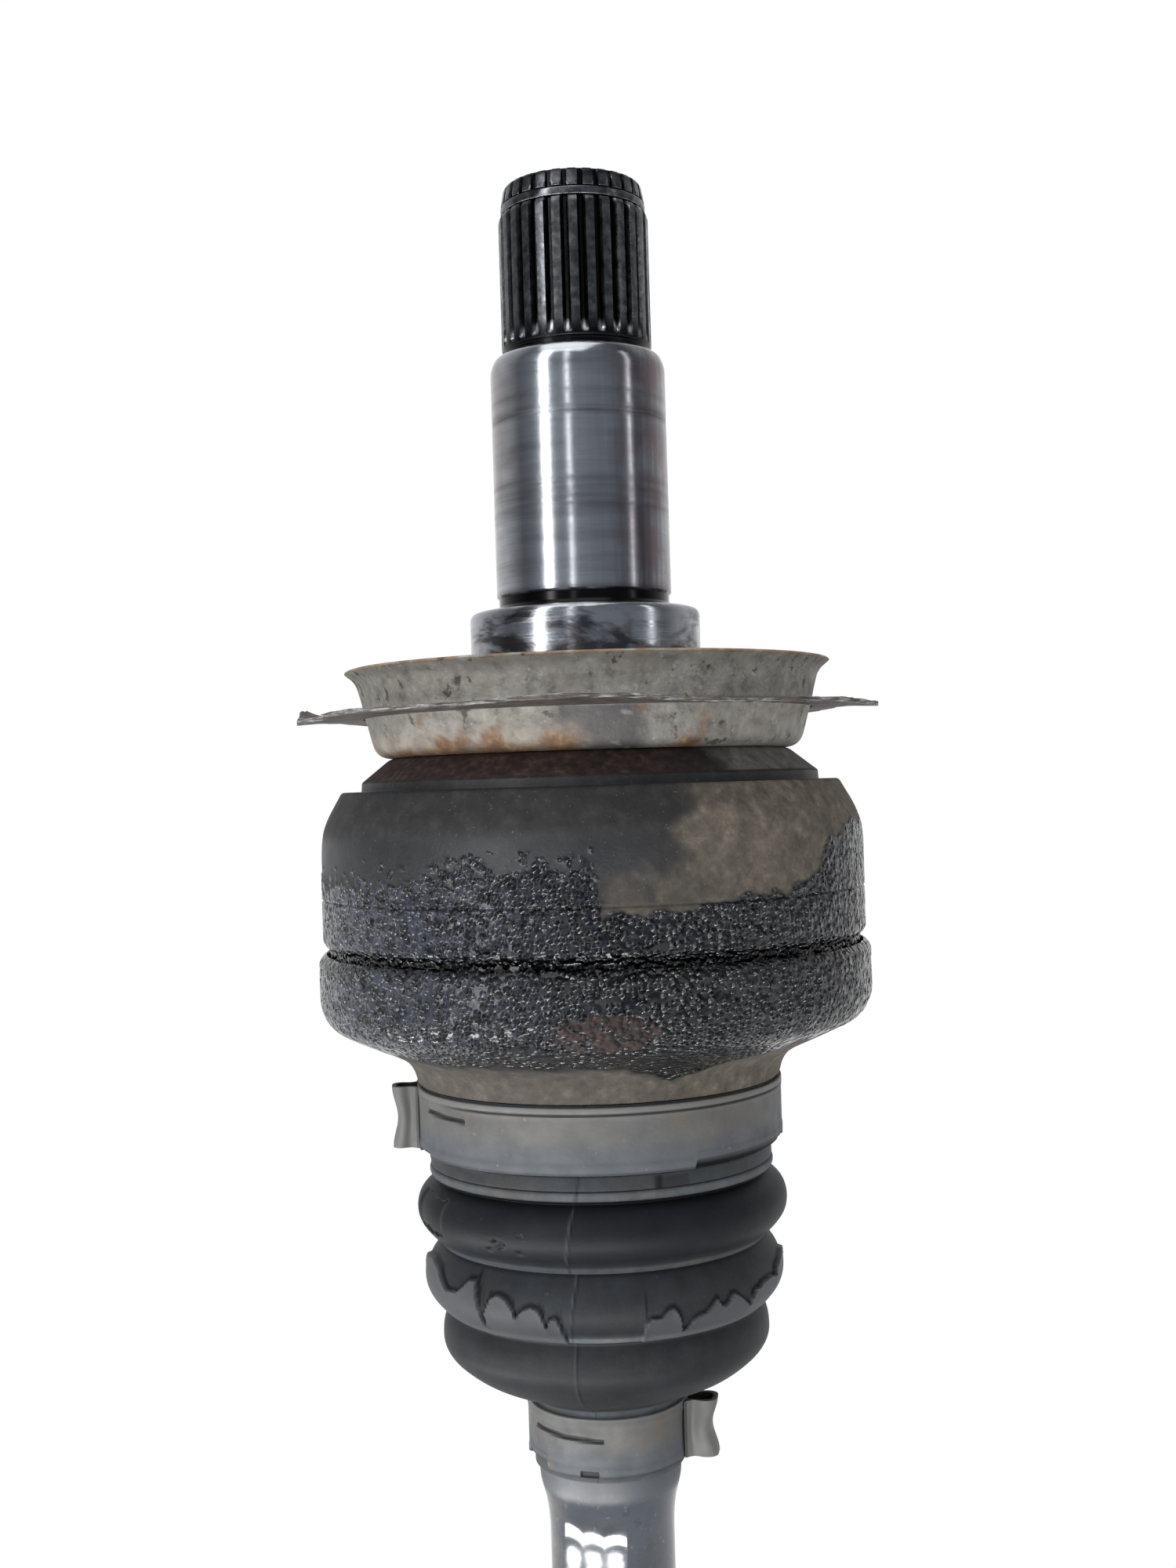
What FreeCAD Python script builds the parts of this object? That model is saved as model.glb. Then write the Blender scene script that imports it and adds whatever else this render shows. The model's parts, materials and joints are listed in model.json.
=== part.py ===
import FreeCAD, Part
import math
import os
import Sketcher

# Half shaft: the axis of the shaft is Z and the inner stub points up.
# The origin is on the axis in the plane of the inner collar's top face.
# The rest pose is straight and fully drawn out. Lengths are millimetres, angles degrees.

SIZES = {
    # inner stub
    "stub_length": 85.0,
    "journal_radius": 17.5,
    "journal_length": 48.4,
    "journal_taper": 3.0,
    "undercut_depth": 0.5,
    "undercut_width": 2.2,
    "undercut_height": 1.0,
    "spline_radius": 15.0,
    "spline_depth": 1.35,
    "spline_foot": 53.2,
    "spline_teeth": 28,
    "spline_lead": 0.9,
    "crown_radius": 14.5,
    "crown_tip": 14.0,
    "crown_edge": 0.6,
    "ring_inset": 4.6,
    "ring_wire": 1.7,
    "ring_groove_depth": 2.6,
    "centre_hole": 4.0,
    # collar, dust shield and deflector
    "collar_radius": 23.0,
    "collar_height": 12.5,
    "collar_edge": 1.6,
    "shield_seat": 24.0,
    "shoulder_drop": 28.3,
    "shield_rim_drop": 11.0,
    "shield_rim_radius": 48.6,
    "shield_waist_drop": 18.0,
    "shield_waist_radius": 45.0,
    "shield_foot_radius": 42.3,
    "shield_bend": 2.8,
    "shield_sheet": 1.4,
    "disc_drop": 20.6,
    "disc_radius": 58.0,
    "disc_sheet": 1.2,
    # inner joint housing
    "neck_top": 39.8,
    "neck_foot": 45.8,
    "neck_cone": 4.7,
    "neck_ridge": 1.8,
    "drum_shoulder": 49.7,
    "drum_round": 10.5,
    "drum_radius": 54.0,
    "drum_line": 21.0,
    "drum_line_depth": 0.35,
    "crease_depth": 1.2,
    "crease_height": 2.4,
    "floor_web": 4.3,
    "drum_end_chamfer": 2.4,
    # inner ball joint
    "inner_ball": 10.0,
    "inner_pitch": 32.0,
    "inner_race_radius": 29.2,
    "inner_race_half": 11.5,
    "inner_race_face": 20.0,
    "inner_race_land": 9.0,
    "inner_cage_bore": 29.5,
    "inner_cage_radius": 34.7,
    "inner_cage_half": 13.0,
    "inner_bore": 35.0,
    "inner_tilt": 12.0,
    "plunge": 16.0,
    "track_gap": 0.15,
    "window_gap": 0.06,
    "window_slack": 1.4,
    "window_corner": 4.0,
    "stop_wire": 0.8,
    "stop_inset": 1.8,
    "stop_gap": 0.4,
    # boot can and its seal
    "can_sheet": 1.4,
    "can_lap": 12.9,
    "can_bend": 2.6,
    "can_mid": 40.0,
    "can_mid_drop": 7.2,
    "can_lip": 36.3,
    "can_shoulder": 13.3,
    "can_neck": 32.6,
    "can_neck_length": 13.4,
    "seal_section": 3.0,
    "seal_depth": 2.2,
    "seal_inset": 7.5,
    # inner boot and clamps
    "boot_wall": 2.6,
    "cuff_wall": 3.0,
    "cuff_lip": 34.1,
    "cuff_lip_length": 4.8,
    "fold_pitch": 13.4,
    "first_fold_drop": 11.4,
    "fold_radius_a": 37.1,
    "fold_radius_b": 35.5,
    "fold_radius_c": 32.7,
    "valley_radius_a": 32.9,
    "valley_radius_b": 31.5,
    "boot_tail": 12.6,
    "small_cuff_length": 13.8,
    "small_cuff_radius": 17.1,
    "clamp_sheet": 0.8,
    "large_clamp_width": 12.4,
    "small_clamp_width": 11.4,
    "ear_height": 5.2,
    "ear_width": 8.0,
    "ear_sheet": 0.9,
    "clamp_slot_tall": 0.9,
    "clamp_slot_rise": 1.2,
    "clamp_hook": 5.0,
    "clamp_hook_tall": 1.5,
    "clamp_hook_edge": 0.9,
    "boot_gap": 0.05,
    # bar
    "bar_radius": 12.45,
    "bar_spline": 13.0,
    "bar_tip": 12.0,
    "bar_shoulder": 14.2,
    "bar_end": 3.0,
    "boot_seat": 14.2,
    "boot_seat_rise": 3.0,
    "boot_seat_cone": 7.0,
    "shaft_span": 363.5,
    "circlip_wire": 1.6,
    "circlip_depth": 1.0,
    # outer ball joint
    "outer_ball": 9.0,
    "outer_pitch": 27.5,
    "outer_race_radius": 24.7,
    "outer_race_half": 11.5,
    "outer_race_face": 18.0,
    "outer_race_land": 9.5,
    "outer_cage_bore": 25.0,
    "outer_cage_radius": 30.0,
    "outer_cage_half": 11.5,
    "outer_bore": 30.3,
    "outer_tilt": 30.0,
    "bell_radius": 45.0,
    "bell_mouth": 13.0,
    "bell_mouth_chamfer": 2.5,
    "bell_skirt": 30.0,
    "bell_dome_radius": 41.0,
    "bell_dome_drop": 31.0,
    "bell_neck": 26.0,
    "bell_face_drop": 46.0,
    "hub_seat": 21.0,
    "hub_seat_length": 6.0,
    "hub_spline": 14.5,
    "hub_spline_depth": 1.2,
    "hub_spline_teeth": 30,
    "hub_spline_length": 42.0,
    "thread_radius": 12.0,
    "thread_length": 22.0,
    "thread_relief": 10.6,
    "thread_relief_length": 3.0,
    "thread_chamfer": 1.6,
    # outer boot and clamps
    "outer_cuff_length": 13.0,
    "outer_cuff_wall": 3.2,
    "outer_boot_wall": 3.2,
    "outer_boot_length": 74.0,
    "outer_fold_count": 5,
    "outer_fold_top": 43.0,
    "outer_fold_step": 5.2,
    "outer_fold_depth": 6.0,
}


class Size:
    """A size that holds its number and the sheet expression that gives it."""

    def __init__(self, number, text):
        self.number = float(number)
        self.text = text

    def __add__(self, other):
        other = size(other)
        return Size(self.number + other.number, f"({self.text} + {other.text})")

    def __sub__(self, other):
        other = size(other)
        return Size(self.number - other.number, f"({self.text} - {other.text})")

    def __mul__(self, other):
        other = size(other)
        return Size(self.number * other.number, f"({self.text} * {other.text})")

    def __truediv__(self, other):
        other = size(other)
        return Size(self.number / other.number, f"({self.text} / {other.text})")

    def __rtruediv__(self, other):
        return size(other) / self

    def __neg__(self):
        return size(0) - self

    def __radd__(self, other):
        return size(other) + self

    def __rsub__(self, other):
        return size(other) - self

    def __rmul__(self, other):
        return size(other) * self


def size(value):
    """A plain number as a Size."""
    if isinstance(value, Size):
        return value
    return Size(value, repr(float(value)))


def root(a):
    """Square root."""
    a = size(a)
    return Size(math.sqrt(a.number), f"sqrt({a.text})")


def cosine(a):
    """Cosine of an angle in degrees."""
    return Size(math.cos(math.radians(a.number)), f"cos({a.text})")


def larger(a, b):
    """The larger of two sizes."""
    return Size(max(a.number, b.number), f"max({a.text}; {b.text})")


def turn_of(opposite, adjacent):
    """The angle in degrees whose tangent is opposite over adjacent."""
    opposite = size(opposite)
    adjacent = size(adjacent)
    angle = math.degrees(math.atan2(opposite.number, adjacent.number))
    return Size(angle, f"(atan2({opposite.text}; {adjacent.text}) / 1 deg)")


doc = FreeCAD.newDocument("half_shaft")
sheet = doc.addObject("Spreadsheet::Sheet", "Values")


class Names:
    """Every sheet value under its own name."""


v = Names()
for row, (word, number) in enumerate(SIZES.items(), start=1):
    sheet.set(f"A{row}", word)
    sheet.set(f"B{row}", str(number))
    sheet.setAlias(f"B{row}", word)
    setattr(v, word, Size(number, f"Values.{word}"))
doc.recompute()

COUNT = 6


# Sketching and feature helpers


def at(r, z):
    """A corner of an outline."""
    return ("at", size(r), size(z))


def mid(r, z):
    """A point that the arc between two corners passes through."""
    return ("mid", size(r), size(z))


def rounded(r, z, radius, enter, leave):
    """A quarter round in place of a square corner: it comes in along enter and goes out along leave."""
    r, z, radius = size(r), size(z), size(radius)
    near = 1 - math.sqrt(0.5)
    first = at(r - radius * enter[0], z - radius * enter[1])
    last = at(r + radius * leave[0], z + radius * leave[1])
    middle = mid(
        r - radius * near * enter[0] + radius * near * leave[0],
        z - radius * near * enter[1] + radius * near * leave[1],
    )
    return [first, middle, last]


def role(body, name):
    """One of a body's own origin planes or axes."""
    for feature in body.Origin.OriginFeatures:
        if feature.Role == name:
            return feature
    raise RuntimeError(name)


def set_size(item, name, value):
    """Bind one property of an object to the sheet."""
    value = size(value)
    item.setExpression(name, value.text)


def new_sketch(body, name, plane, lift=None, turn=None):
    """A sketch on one of the body's origin planes, lifted along its normal and turned about it."""
    sketch = body.newObject("Sketcher::SketchObject", name)
    sketch.AttachmentSupport = (role(body, plane), [""])
    sketch.MapMode = "FlatFace"
    if lift is not None:
        set_size(sketch, ".AttachmentOffset.Base.z", lift)
    if turn is not None:
        sketch.AttachmentOffset = FreeCAD.Placement(
            FreeCAD.Vector(0, 0, 0), FreeCAD.Rotation(FreeCAD.Vector(0, 0, 1), 1)
        )
        set_size(sketch, ".AttachmentOffset.Rotation.Angle", turn)
    return sketch


def hold(sketch, number, which, r, z):
    """Tie one point of the sketch to two sizes."""
    for kind, value in (("DistanceX", r), ("DistanceY", z)):
        index = sketch.addConstraint(Sketcher.Constraint(kind, -1, 1, number, which, value.number))
        sketch.setExpression(f"Constraints[{index}]", value.text)


def draw(sketch, outline):
    """Draw a closed outline of lines and three-point arcs, with every point tied to its sizes."""
    corners = []
    for kind, r, z in outline:
        if kind == "at":
            corners.append([r, z, None])
        else:
            corners[-1][2] = (r, z)
    ends = []
    for index, (r, z, through) in enumerate(corners):
        r_next, z_next, _ = corners[(index + 1) % len(corners)]
        start = FreeCAD.Vector(r.number, z.number, 0)
        stop = FreeCAD.Vector(r_next.number, z_next.number, 0)
        if through is None:
            number = sketch.addGeometry(Part.LineSegment(start, stop))
        else:
            middle = FreeCAD.Vector(through[0].number, through[1].number, 0)
            number = sketch.addGeometry(Part.Arc(start, middle, stop))
        if (sketch.getPoint(number, 1) - start).Length < (sketch.getPoint(number, 2) - start).Length:
            ends.append((number, 1, 2))
        else:
            ends.append((number, 2, 1))
    for index, (number, first, last) in enumerate(ends):
        after, after_first, _ = ends[(index + 1) % len(ends)]
        sketch.addConstraint(Sketcher.Constraint("Coincident", number, last, after, after_first))
        r, z, through = corners[index]
        hold(sketch, number, first, r, z)
        if through is not None:
            point = sketch.addGeometry(
                Part.Point(FreeCAD.Vector(through[0].number, through[1].number, 0)), True
            )
            hold(sketch, point, 1, through[0], through[1])
            sketch.addConstraint(Sketcher.Constraint("PointOnObject", point, 1, number))


def draw_circle(sketch, x, y, radius):
    """Draw one circle tied to its sizes."""
    x, y, radius = size(x), size(y), size(radius)
    centre = FreeCAD.Vector(x.number, y.number, 0)
    number = sketch.addGeometry(Part.Circle(centre, FreeCAD.Vector(0, 0, 1), radius.number))
    hold(sketch, number, 3, x, y)
    index = sketch.addConstraint(Sketcher.Constraint("Radius", number, radius.number))
    sketch.setExpression(f"Constraints[{index}]", radius.text)


def new_body(label):
    """An empty body whose label names its file."""
    body = doc.addObject("PartDesign::Body", label)
    body.Label = label
    return body


def turned(label, outline, angle=360):
    """A body turned about Z from an outline of radius and height."""
    body = new_body(label)
    add_turned(body, label, outline, angle)
    return body


def add_turned(body, name, outline, angle=360):
    """Turn an outline about Z and add it to the body."""
    sketch = new_sketch(body, f"{name}_outline", "XZ_Plane")
    draw(sketch, outline)
    feature = body.newObject("PartDesign::Revolution", f"{name}_turned")
    feature.Profile = sketch
    feature.ReferenceAxis = (sketch, ["V_Axis"])
    feature.Angle = angle
    feature.Midplane = angle != 360
    return feature


def groove(body, name, outline):
    """Turn an outline about Z and take it away from the body."""
    sketch = new_sketch(body, f"{name}_outline", "XZ_Plane")
    draw(sketch, outline)
    feature = body.newObject("PartDesign::Groove", f"{name}_groove")
    feature.Profile = sketch
    feature.ReferenceAxis = (sketch, ["V_Axis"])
    feature.Angle = 360
    return feature


def ball_track(body, name, height, azimuth, pitch, tube, sweep):
    """Take away a track: a round tube bent on a circle about the joint centre, in the plane at azimuth."""
    sketch = new_sketch(body, f"{name}_section", "XY_Plane", height, azimuth)
    draw_circle(sketch, pitch, 0, tube)
    feature = body.newObject("PartDesign::Groove", name)
    feature.Profile = sketch
    feature.ReferenceAxis = (sketch, ["V_Axis"])
    feature.Midplane = True
    feature.Angle = sweep
    return feature


def around(body, originals, count, name):
    """Repeat features evenly about Z."""
    pattern = body.newObject("PartDesign::PolarPattern", name)
    pattern.Originals = originals
    pattern.Axis = (role(body, "Z_Axis"), [""])
    pattern.Angle = 360
    if isinstance(count, Size):
        set_size(pattern, "Occurrences", count)
    else:
        pattern.Occurrences = count
    body.Tip = pattern
    return pattern


def teeth(body, name, radius, depth, count, low, high):
    """Cut splines: one tooth space with a run-out at its low end, repeated about Z."""
    space = 180 / count
    half = radius * Size(math.sin(math.radians(space.number / 2)), f"sin({space.text} / 2)")
    run_out = depth * 4
    start = new_sketch(body, f"{name}_space", "XY_Plane", high)
    foot = radius - depth
    over = radius + depth
    draw(start, [
        at(foot, half * 0.5), at(foot, half * -0.5),
        at(over, half * -1.9), at(over, half * 1.9),
    ])
    cut = body.newObject("PartDesign::Pocket", f"{name}_cut")
    cut.Profile = start
    cut.Type = "Length"
    set_size(cut, "Length", high - low - run_out)
    top = new_sketch(body, f"{name}_run_out_top", "XY_Plane", low + run_out)
    draw(top, [
        at(foot, half * 0.5), at(foot, half * -0.5),
        at(over, half * -1.9), at(over, half * 1.9),
    ])
    low_end = new_sketch(body, f"{name}_run_out_end", "XY_Plane", low)
    rim = radius + depth * 0.05
    draw(low_end, [
        at(rim, half * 0.5), at(rim, half * -0.5),
        at(over, half * -1.9), at(over, half * 1.9),
    ])
    loft = body.newObject("PartDesign::SubtractiveLoft", f"{name}_run_out")
    loft.Profile = top
    loft.Sections = [low_end]
    loft.Ruled = True
    return around(body, [cut, loft], count, f"{name}_teeth")


def cut_windows(body, name, height, ball):
    """Cut the six ball windows of a cage."""
    sketch = new_sketch(body, f"{name}_window", "YZ_Plane")
    half_high = ball + v.window_gap
    half_wide = ball + v.window_slack
    low = height - half_high
    high = height + half_high
    corner = v.window_corner
    draw(sketch, [
        *rounded(half_wide, low, corner, (1, 0), (0, 1)),
        *rounded(half_wide, high, corner, (0, 1), (-1, 0)),
        *rounded(-half_wide, high, corner, (-1, 0), (0, -1)),
        *rounded(-half_wide, low, corner, (0, -1), (1, 0)),
    ])
    cut = body.newObject("PartDesign::Pocket", f"{name}_window_cut")
    cut.Profile = sketch
    cut.Type = "Length"
    set_size(cut, "Length", v.inner_cage_radius + v.outer_cage_radius)
    return around(body, [cut], COUNT, f"{name}_windows")


def ball_set(label, ball, pitch, height):
    """Six balls evenly on the pitch circle."""
    balls = []
    for index in range(COUNT):
        item = doc.addObject("Part::Sphere", f"{label}_{index}")
        azimuth = 2 * math.pi * index / COUNT
        set_size(item, "Radius", ball)
        set_size(item, ".Placement.Base.x", pitch * math.cos(azimuth))
        set_size(item, ".Placement.Base.y", pitch * math.sin(azimuth))
        set_size(item, ".Placement.Base.z", height)
        balls.append(item)
    group = doc.addObject("Part::Compound", label)
    group.Links = balls
    group.Label = label
    return group


def band_window(body, name, reach, height, turn, long, tall):
    """Cut a window through one side of a band: long round the band, tall along the shaft."""
    sketch = new_sketch(body, f"{name}_outline", "XY_Plane", height - tall * 0.5, turn)
    half = long * 0.5
    draw(sketch, [at(1, -half), at(reach, -half), at(reach, half), at(1, half)])
    cut = body.newObject("PartDesign::Pocket", name)
    cut.Profile = sketch
    cut.Type = "Length"
    cut.Reversed = True
    set_size(cut, "Length", tall)


def ear_clamp(label, bore, height, width, turn, slot_turn, hook_turns):
    """A band with a crimped ear, a lapped tail, a slot and hook windows. Height is the band's middle."""
    outside = bore + v.clamp_sheet
    half = width * 0.5
    body = turned(label, [
        at(bore, height - half), at(outside, height - half),
        at(outside, height + half), at(bore, height + half),
    ])
    lap = v.clamp_sheet * 0.8
    add_turned(body, f"{label}_lap", [
        at(outside - 0.05, height - half), at(outside + lap, height - half),
        at(outside + lap, height + half), at(outside - 0.05, height + half),
    ], 80).Midplane = True
    crest = outside + v.ear_height
    wide = v.ear_width * 0.5
    neck = wide * 0.72
    wall = v.ear_sheet
    root_r = outside - 0.1
    sketch = new_sketch(body, f"{label}_ear_outline", "XY_Plane", height - half, turn)
    draw(sketch, [
        at(root_r, wide), mid(outside + 0.9, neck + 0.25), at(outside + 1.8, neck),
        at(crest - 2.2, wide * 0.92), mid(crest, 0), at(crest - 2.2, wide * -0.92),
        at(outside + 1.8, -neck), mid(outside + 0.9, -neck - 0.25), at(root_r, -wide),
    ])
    pad = body.newObject("PartDesign::Pad", f"{label}_ear")
    pad.Profile = sketch
    pad.Type = "Length"
    set_size(pad, "Length", width)
    loop = new_sketch(body, f"{label}_ear_loop", "XY_Plane", height - half, turn)
    draw(loop, [
        at(outside + 0.5, neck - wall), at(crest - 2.2, wide * 0.92 - wall),
        mid(crest - wall, 0),
        at(crest - 2.2, wall - wide * 0.92), at(outside + 0.5, wall - neck),
    ])
    cut = body.newObject("PartDesign::Pocket", f"{label}_ear_hollow")
    cut.Profile = loop
    cut.Type = "Length"
    cut.Reversed = True
    set_size(cut, "Length", width)
    reach = outside + v.clamp_sheet * 2
    slot_z = height + v.clamp_slot_rise
    band_window(body, f"{label}_slot", reach, slot_z, slot_turn, bore * 0.46, v.clamp_slot_tall)
    hook_z = height - half + v.clamp_hook_edge + v.clamp_hook_tall * 0.5
    for index, hook_turn in enumerate(hook_turns):
        name = f"{label}_hook_{index}"
        band_window(body, name, reach, hook_z, hook_turn, v.clamp_hook, v.clamp_hook_tall)
    return body


def fold_points(crests, valleys, half):
    """The outside of a bellows: crests and valleys in turn, each a short arc. Half is negative upwards."""
    points = []
    for index, (crest, z) in enumerate(crests):
        points += [at(crest - 1.3, z + half), mid(crest, z), at(crest - 1.3, z - half)]
        if index < len(valleys):
            valley, z_valley = valleys[index]
            points += [
                at(valley + 0.9, z_valley + half * 0.4),
                mid(valley, z_valley),
                at(valley + 0.9, z_valley - half * 0.4),
            ]
    return points


def inward(points, wall):
    """The same outline moved in by the wall, in reverse order."""
    return [(kind, r - wall, z) for kind, r, z in reversed(points)]


# Heights, worked out from the shoulder down

z_shoulder = -v.shoulder_drop
z_neck_foot = z_shoulder - v.neck_cone
z_drum = z_neck_foot - v.neck_ridge

corner_cosine = cosine(v.inner_tilt) * cosine(v.inner_tilt)
corner_sine = root(1 - corner_cosine * corner_cosine)
inner_bar_over = v.inner_race_half + v.bar_end
bar_reach = inner_bar_over * corner_cosine + v.bar_tip * corner_sine
inner_land = root(v.inner_race_radius * v.inner_race_radius - v.inner_race_land * v.inner_race_land)
face_reach = v.inner_race_half * corner_cosine + v.inner_race_face * corner_sine
land_reach = v.inner_race_land * corner_cosine + inner_land * corner_sine
inner_reach = larger(bar_reach, larger(face_reach, land_reach))

z_recess = z_shoulder - v.floor_web
z_inner_in = z_recess - inner_reach - v.stop_gap
z_inner = z_inner_in - v.plunge
z_stop_ring = z_inner - v.inner_ball - v.stop_gap - v.stop_wire
z_drum_end = z_stop_ring - v.stop_inset
z_track_top = z_inner_in + v.inner_ball + v.stop_gap
z_bore_top = z_inner_in + v.inner_cage_half + v.stop_gap

z_can_top = z_drum_end + v.can_lap
z_can_lip = z_drum_end - v.can_shoulder
z_can_end = z_can_lip - v.can_neck_length
z_fold_a = z_can_end - v.first_fold_drop
z_fold_b = z_fold_a - v.fold_pitch
z_fold_c = z_fold_b - v.fold_pitch * 0.9
z_small_cuff = z_fold_c - v.boot_tail
z_small_end = z_small_cuff - v.small_cuff_length

z_outer = z_inner - v.shaft_span
z_bell_mouth = z_outer + v.bell_mouth
z_bell_skirt = z_bell_mouth - v.bell_skirt
z_bell_face = z_outer - v.bell_face_drop
z_hub_seat = z_bell_face - v.hub_seat_length
z_hub_spline = z_hub_seat - v.hub_spline_length
z_hub_end = z_hub_spline - v.thread_length
z_outer_cuff_end = z_bell_mouth - v.outer_cuff_length
z_outer_small = z_bell_mouth + v.outer_boot_length
z_outer_small_end = z_outer_small + v.small_cuff_length


# Inner joint housing


def inner_joint_housing():
    """Stub, collar, neck and drum in one forging, bored and tracked for the ball joint."""
    ring_z = v.stub_length - v.ring_inset
    ring_half = v.ring_wire * 0.5 + 0.15
    groove_r = v.spline_radius - v.ring_groove_depth
    neck_top = v.journal_length + v.journal_taper
    low_cut = v.undercut_height
    high_cut = v.undercut_height + v.undercut_width
    cut_r = v.journal_radius - v.undercut_depth
    line_z = z_drum - v.drum_line
    body = turned("inner_joint_housing", [
        at(0, v.stub_length),
        at(v.crown_tip - v.crown_edge, v.stub_length),
        at(v.crown_tip, v.stub_length - v.crown_edge),
        at(v.crown_radius, ring_z + ring_half),
        at(groove_r, ring_z + ring_half),
        at(groove_r, ring_z - ring_half),
        at(v.crown_radius, ring_z - ring_half),
        at(v.spline_radius, ring_z - ring_half - v.spline_lead),
        at(v.spline_radius, neck_top),
        mid(v.journal_radius - 0.75, v.journal_length + v.journal_taper * 0.62),
        at(v.journal_radius, v.journal_length),
        at(v.journal_radius, high_cut),
        at(cut_r, high_cut - v.undercut_depth),
        at(cut_r, low_cut),
        at(v.journal_radius, low_cut),
        at(v.journal_radius, 0),
        *rounded(v.collar_radius, 0, v.collar_edge, (1, 0), (0, -1)),
        at(v.collar_radius, -v.collar_height),
        at(v.shield_seat, -v.collar_height - 1),
        at(v.shield_seat, z_shoulder),
        at(v.neck_top, z_shoulder),
        mid(v.neck_top + 0.75, z_shoulder - 0.3),
        at(v.neck_top + 1.2, z_shoulder - 1.0),
        at(v.neck_foot, z_neck_foot),
        at(v.neck_foot, z_drum),
        at(v.drum_shoulder, z_drum),
        mid(v.drum_radius - 1.15, z_drum - v.drum_round * 0.49),
        at(v.drum_radius, z_drum - v.drum_round),
        at(v.drum_radius, line_z + v.drum_line_depth),
        at(v.drum_radius - v.drum_line_depth, line_z),
        at(v.drum_radius, line_z - v.drum_line_depth),
        at(v.drum_radius, z_can_top + v.crease_height),
        at(v.drum_radius - v.crease_depth, z_can_top + v.crease_height * 0.4),
        at(v.drum_radius - v.crease_depth, z_can_top),
        at(v.drum_radius - 0.5, z_can_top),
        at(v.drum_radius - 0.5, z_drum_end + v.drum_end_chamfer),
        at(v.drum_radius - 0.5 - v.drum_end_chamfer, z_drum_end),
        at(v.inner_bore + 1.2, z_drum_end),
        at(v.inner_bore, z_drum_end + 1.2),
        at(v.inner_bore, z_bore_top),
        at(v.inner_bore - 1, z_bore_top),
        at(inner_land + 1, z_recess),
        at(0, z_recess),
    ])
    stop_r = v.inner_bore + v.stop_wire * 2
    groove(body, "stop_ring", [
        at(v.inner_bore - 1, z_stop_ring + v.stop_wire),
        at(stop_r, z_stop_ring + v.stop_wire),
        at(stop_r, z_stop_ring - v.stop_wire),
        at(v.inner_bore - 1, z_stop_ring - v.stop_wire),
    ])
    seal_z = z_drum_end + v.seal_inset
    seat_r = v.drum_radius - 0.5
    groove(body, "can_seal", [
        at(seat_r - v.seal_depth, seal_z + v.seal_section * 0.5),
        at(seat_r + 1, seal_z + v.seal_section * 0.5),
        at(seat_r + 1, seal_z - v.seal_section * 0.5),
        at(seat_r - v.seal_depth, seal_z - v.seal_section * 0.5),
    ])
    section = new_sketch(body, "inner_track_section", "XY_Plane", z_track_top)
    draw_circle(section, v.inner_pitch, 0, v.inner_ball + v.track_gap)
    track = body.newObject("PartDesign::Pocket", "inner_track")
    track.Profile = section
    track.Type = "Length"
    set_size(track, "Length", z_track_top - z_drum_end + 1)
    around(body, [track], COUNT, "inner_tracks")
    teeth(body, "stub_spline", v.spline_radius, v.spline_depth, v.spline_teeth,
          v.spline_foot, v.stub_length + 0.1)
    return body


def stub_snap_ring():
    """Open ring of square wire in the groove at the end of the stub."""
    z = v.stub_length - v.ring_inset
    half = v.ring_wire * 0.5
    inside = v.spline_radius - v.ring_groove_depth + 0.25
    outside = v.spline_radius - 0.5
    return turned("stub_snap_ring", [
        at(inside, z - half), *rounded(outside, z - half, 0.4, (1, 0), (0, 1)),
        *rounded(outside, z + half, 0.4, (0, 1), (-1, 0)), at(inside, z + half),
    ], 344)


def dust_shield():
    """Pressed steel cup, open upwards, with a flared rim, pressed on the seat below the collar."""
    sheet_t = v.shield_sheet
    floor_low = z_shoulder
    floor_high = z_shoulder + sheet_t
    wall = v.shield_waist_radius
    disc_z = -v.disc_drop
    bend = v.shield_bend
    low_wall = v.shield_foot_radius
    return turned("dust_shield", [
        at(v.shield_seat, floor_low),
        at(low_wall - bend, floor_low),
        mid(low_wall - bend * 0.29, floor_low + bend * 0.29),
        at(low_wall, floor_low + bend),
        at(wall - 0.6, disc_z - v.disc_sheet),
        at(wall, disc_z),
        at(wall, -v.shield_waist_drop),
        mid(wall + 0.9, -(v.shield_waist_drop * 0.52 + v.shield_rim_drop * 0.48)),
        at(v.shield_rim_radius, -v.shield_rim_drop),
        at(v.shield_rim_radius - sheet_t, -v.shield_rim_drop),
        mid(wall + 0.75 - sheet_t, -(v.shield_waist_drop * 0.52 + v.shield_rim_drop * 0.48)),
        at(wall - sheet_t, -v.shield_waist_drop),
        at(wall - sheet_t, disc_z),
        at(wall - 0.6 - sheet_t, disc_z - v.disc_sheet),
        at(low_wall - sheet_t, floor_high + bend),
        mid(low_wall - sheet_t - bend * 0.35, floor_high + bend * 0.35),
        at(low_wall - bend - sheet_t, floor_high),
        at(v.shield_seat + sheet_t, floor_high),
        at(v.shield_seat + sheet_t, floor_high + 4),
        at(v.shield_seat, floor_high + 4),
    ])


def deflector_disc():
    """Thin flat disc pushed over the cup."""
    z = -v.disc_drop
    return turned("deflector_disc", [
        at(v.shield_waist_radius, z - v.disc_sheet * 0.02),
        at(v.disc_radius, z), at(v.disc_radius, z + v.disc_sheet),
        at(v.shield_waist_radius, z + v.disc_sheet),
    ])


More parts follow.
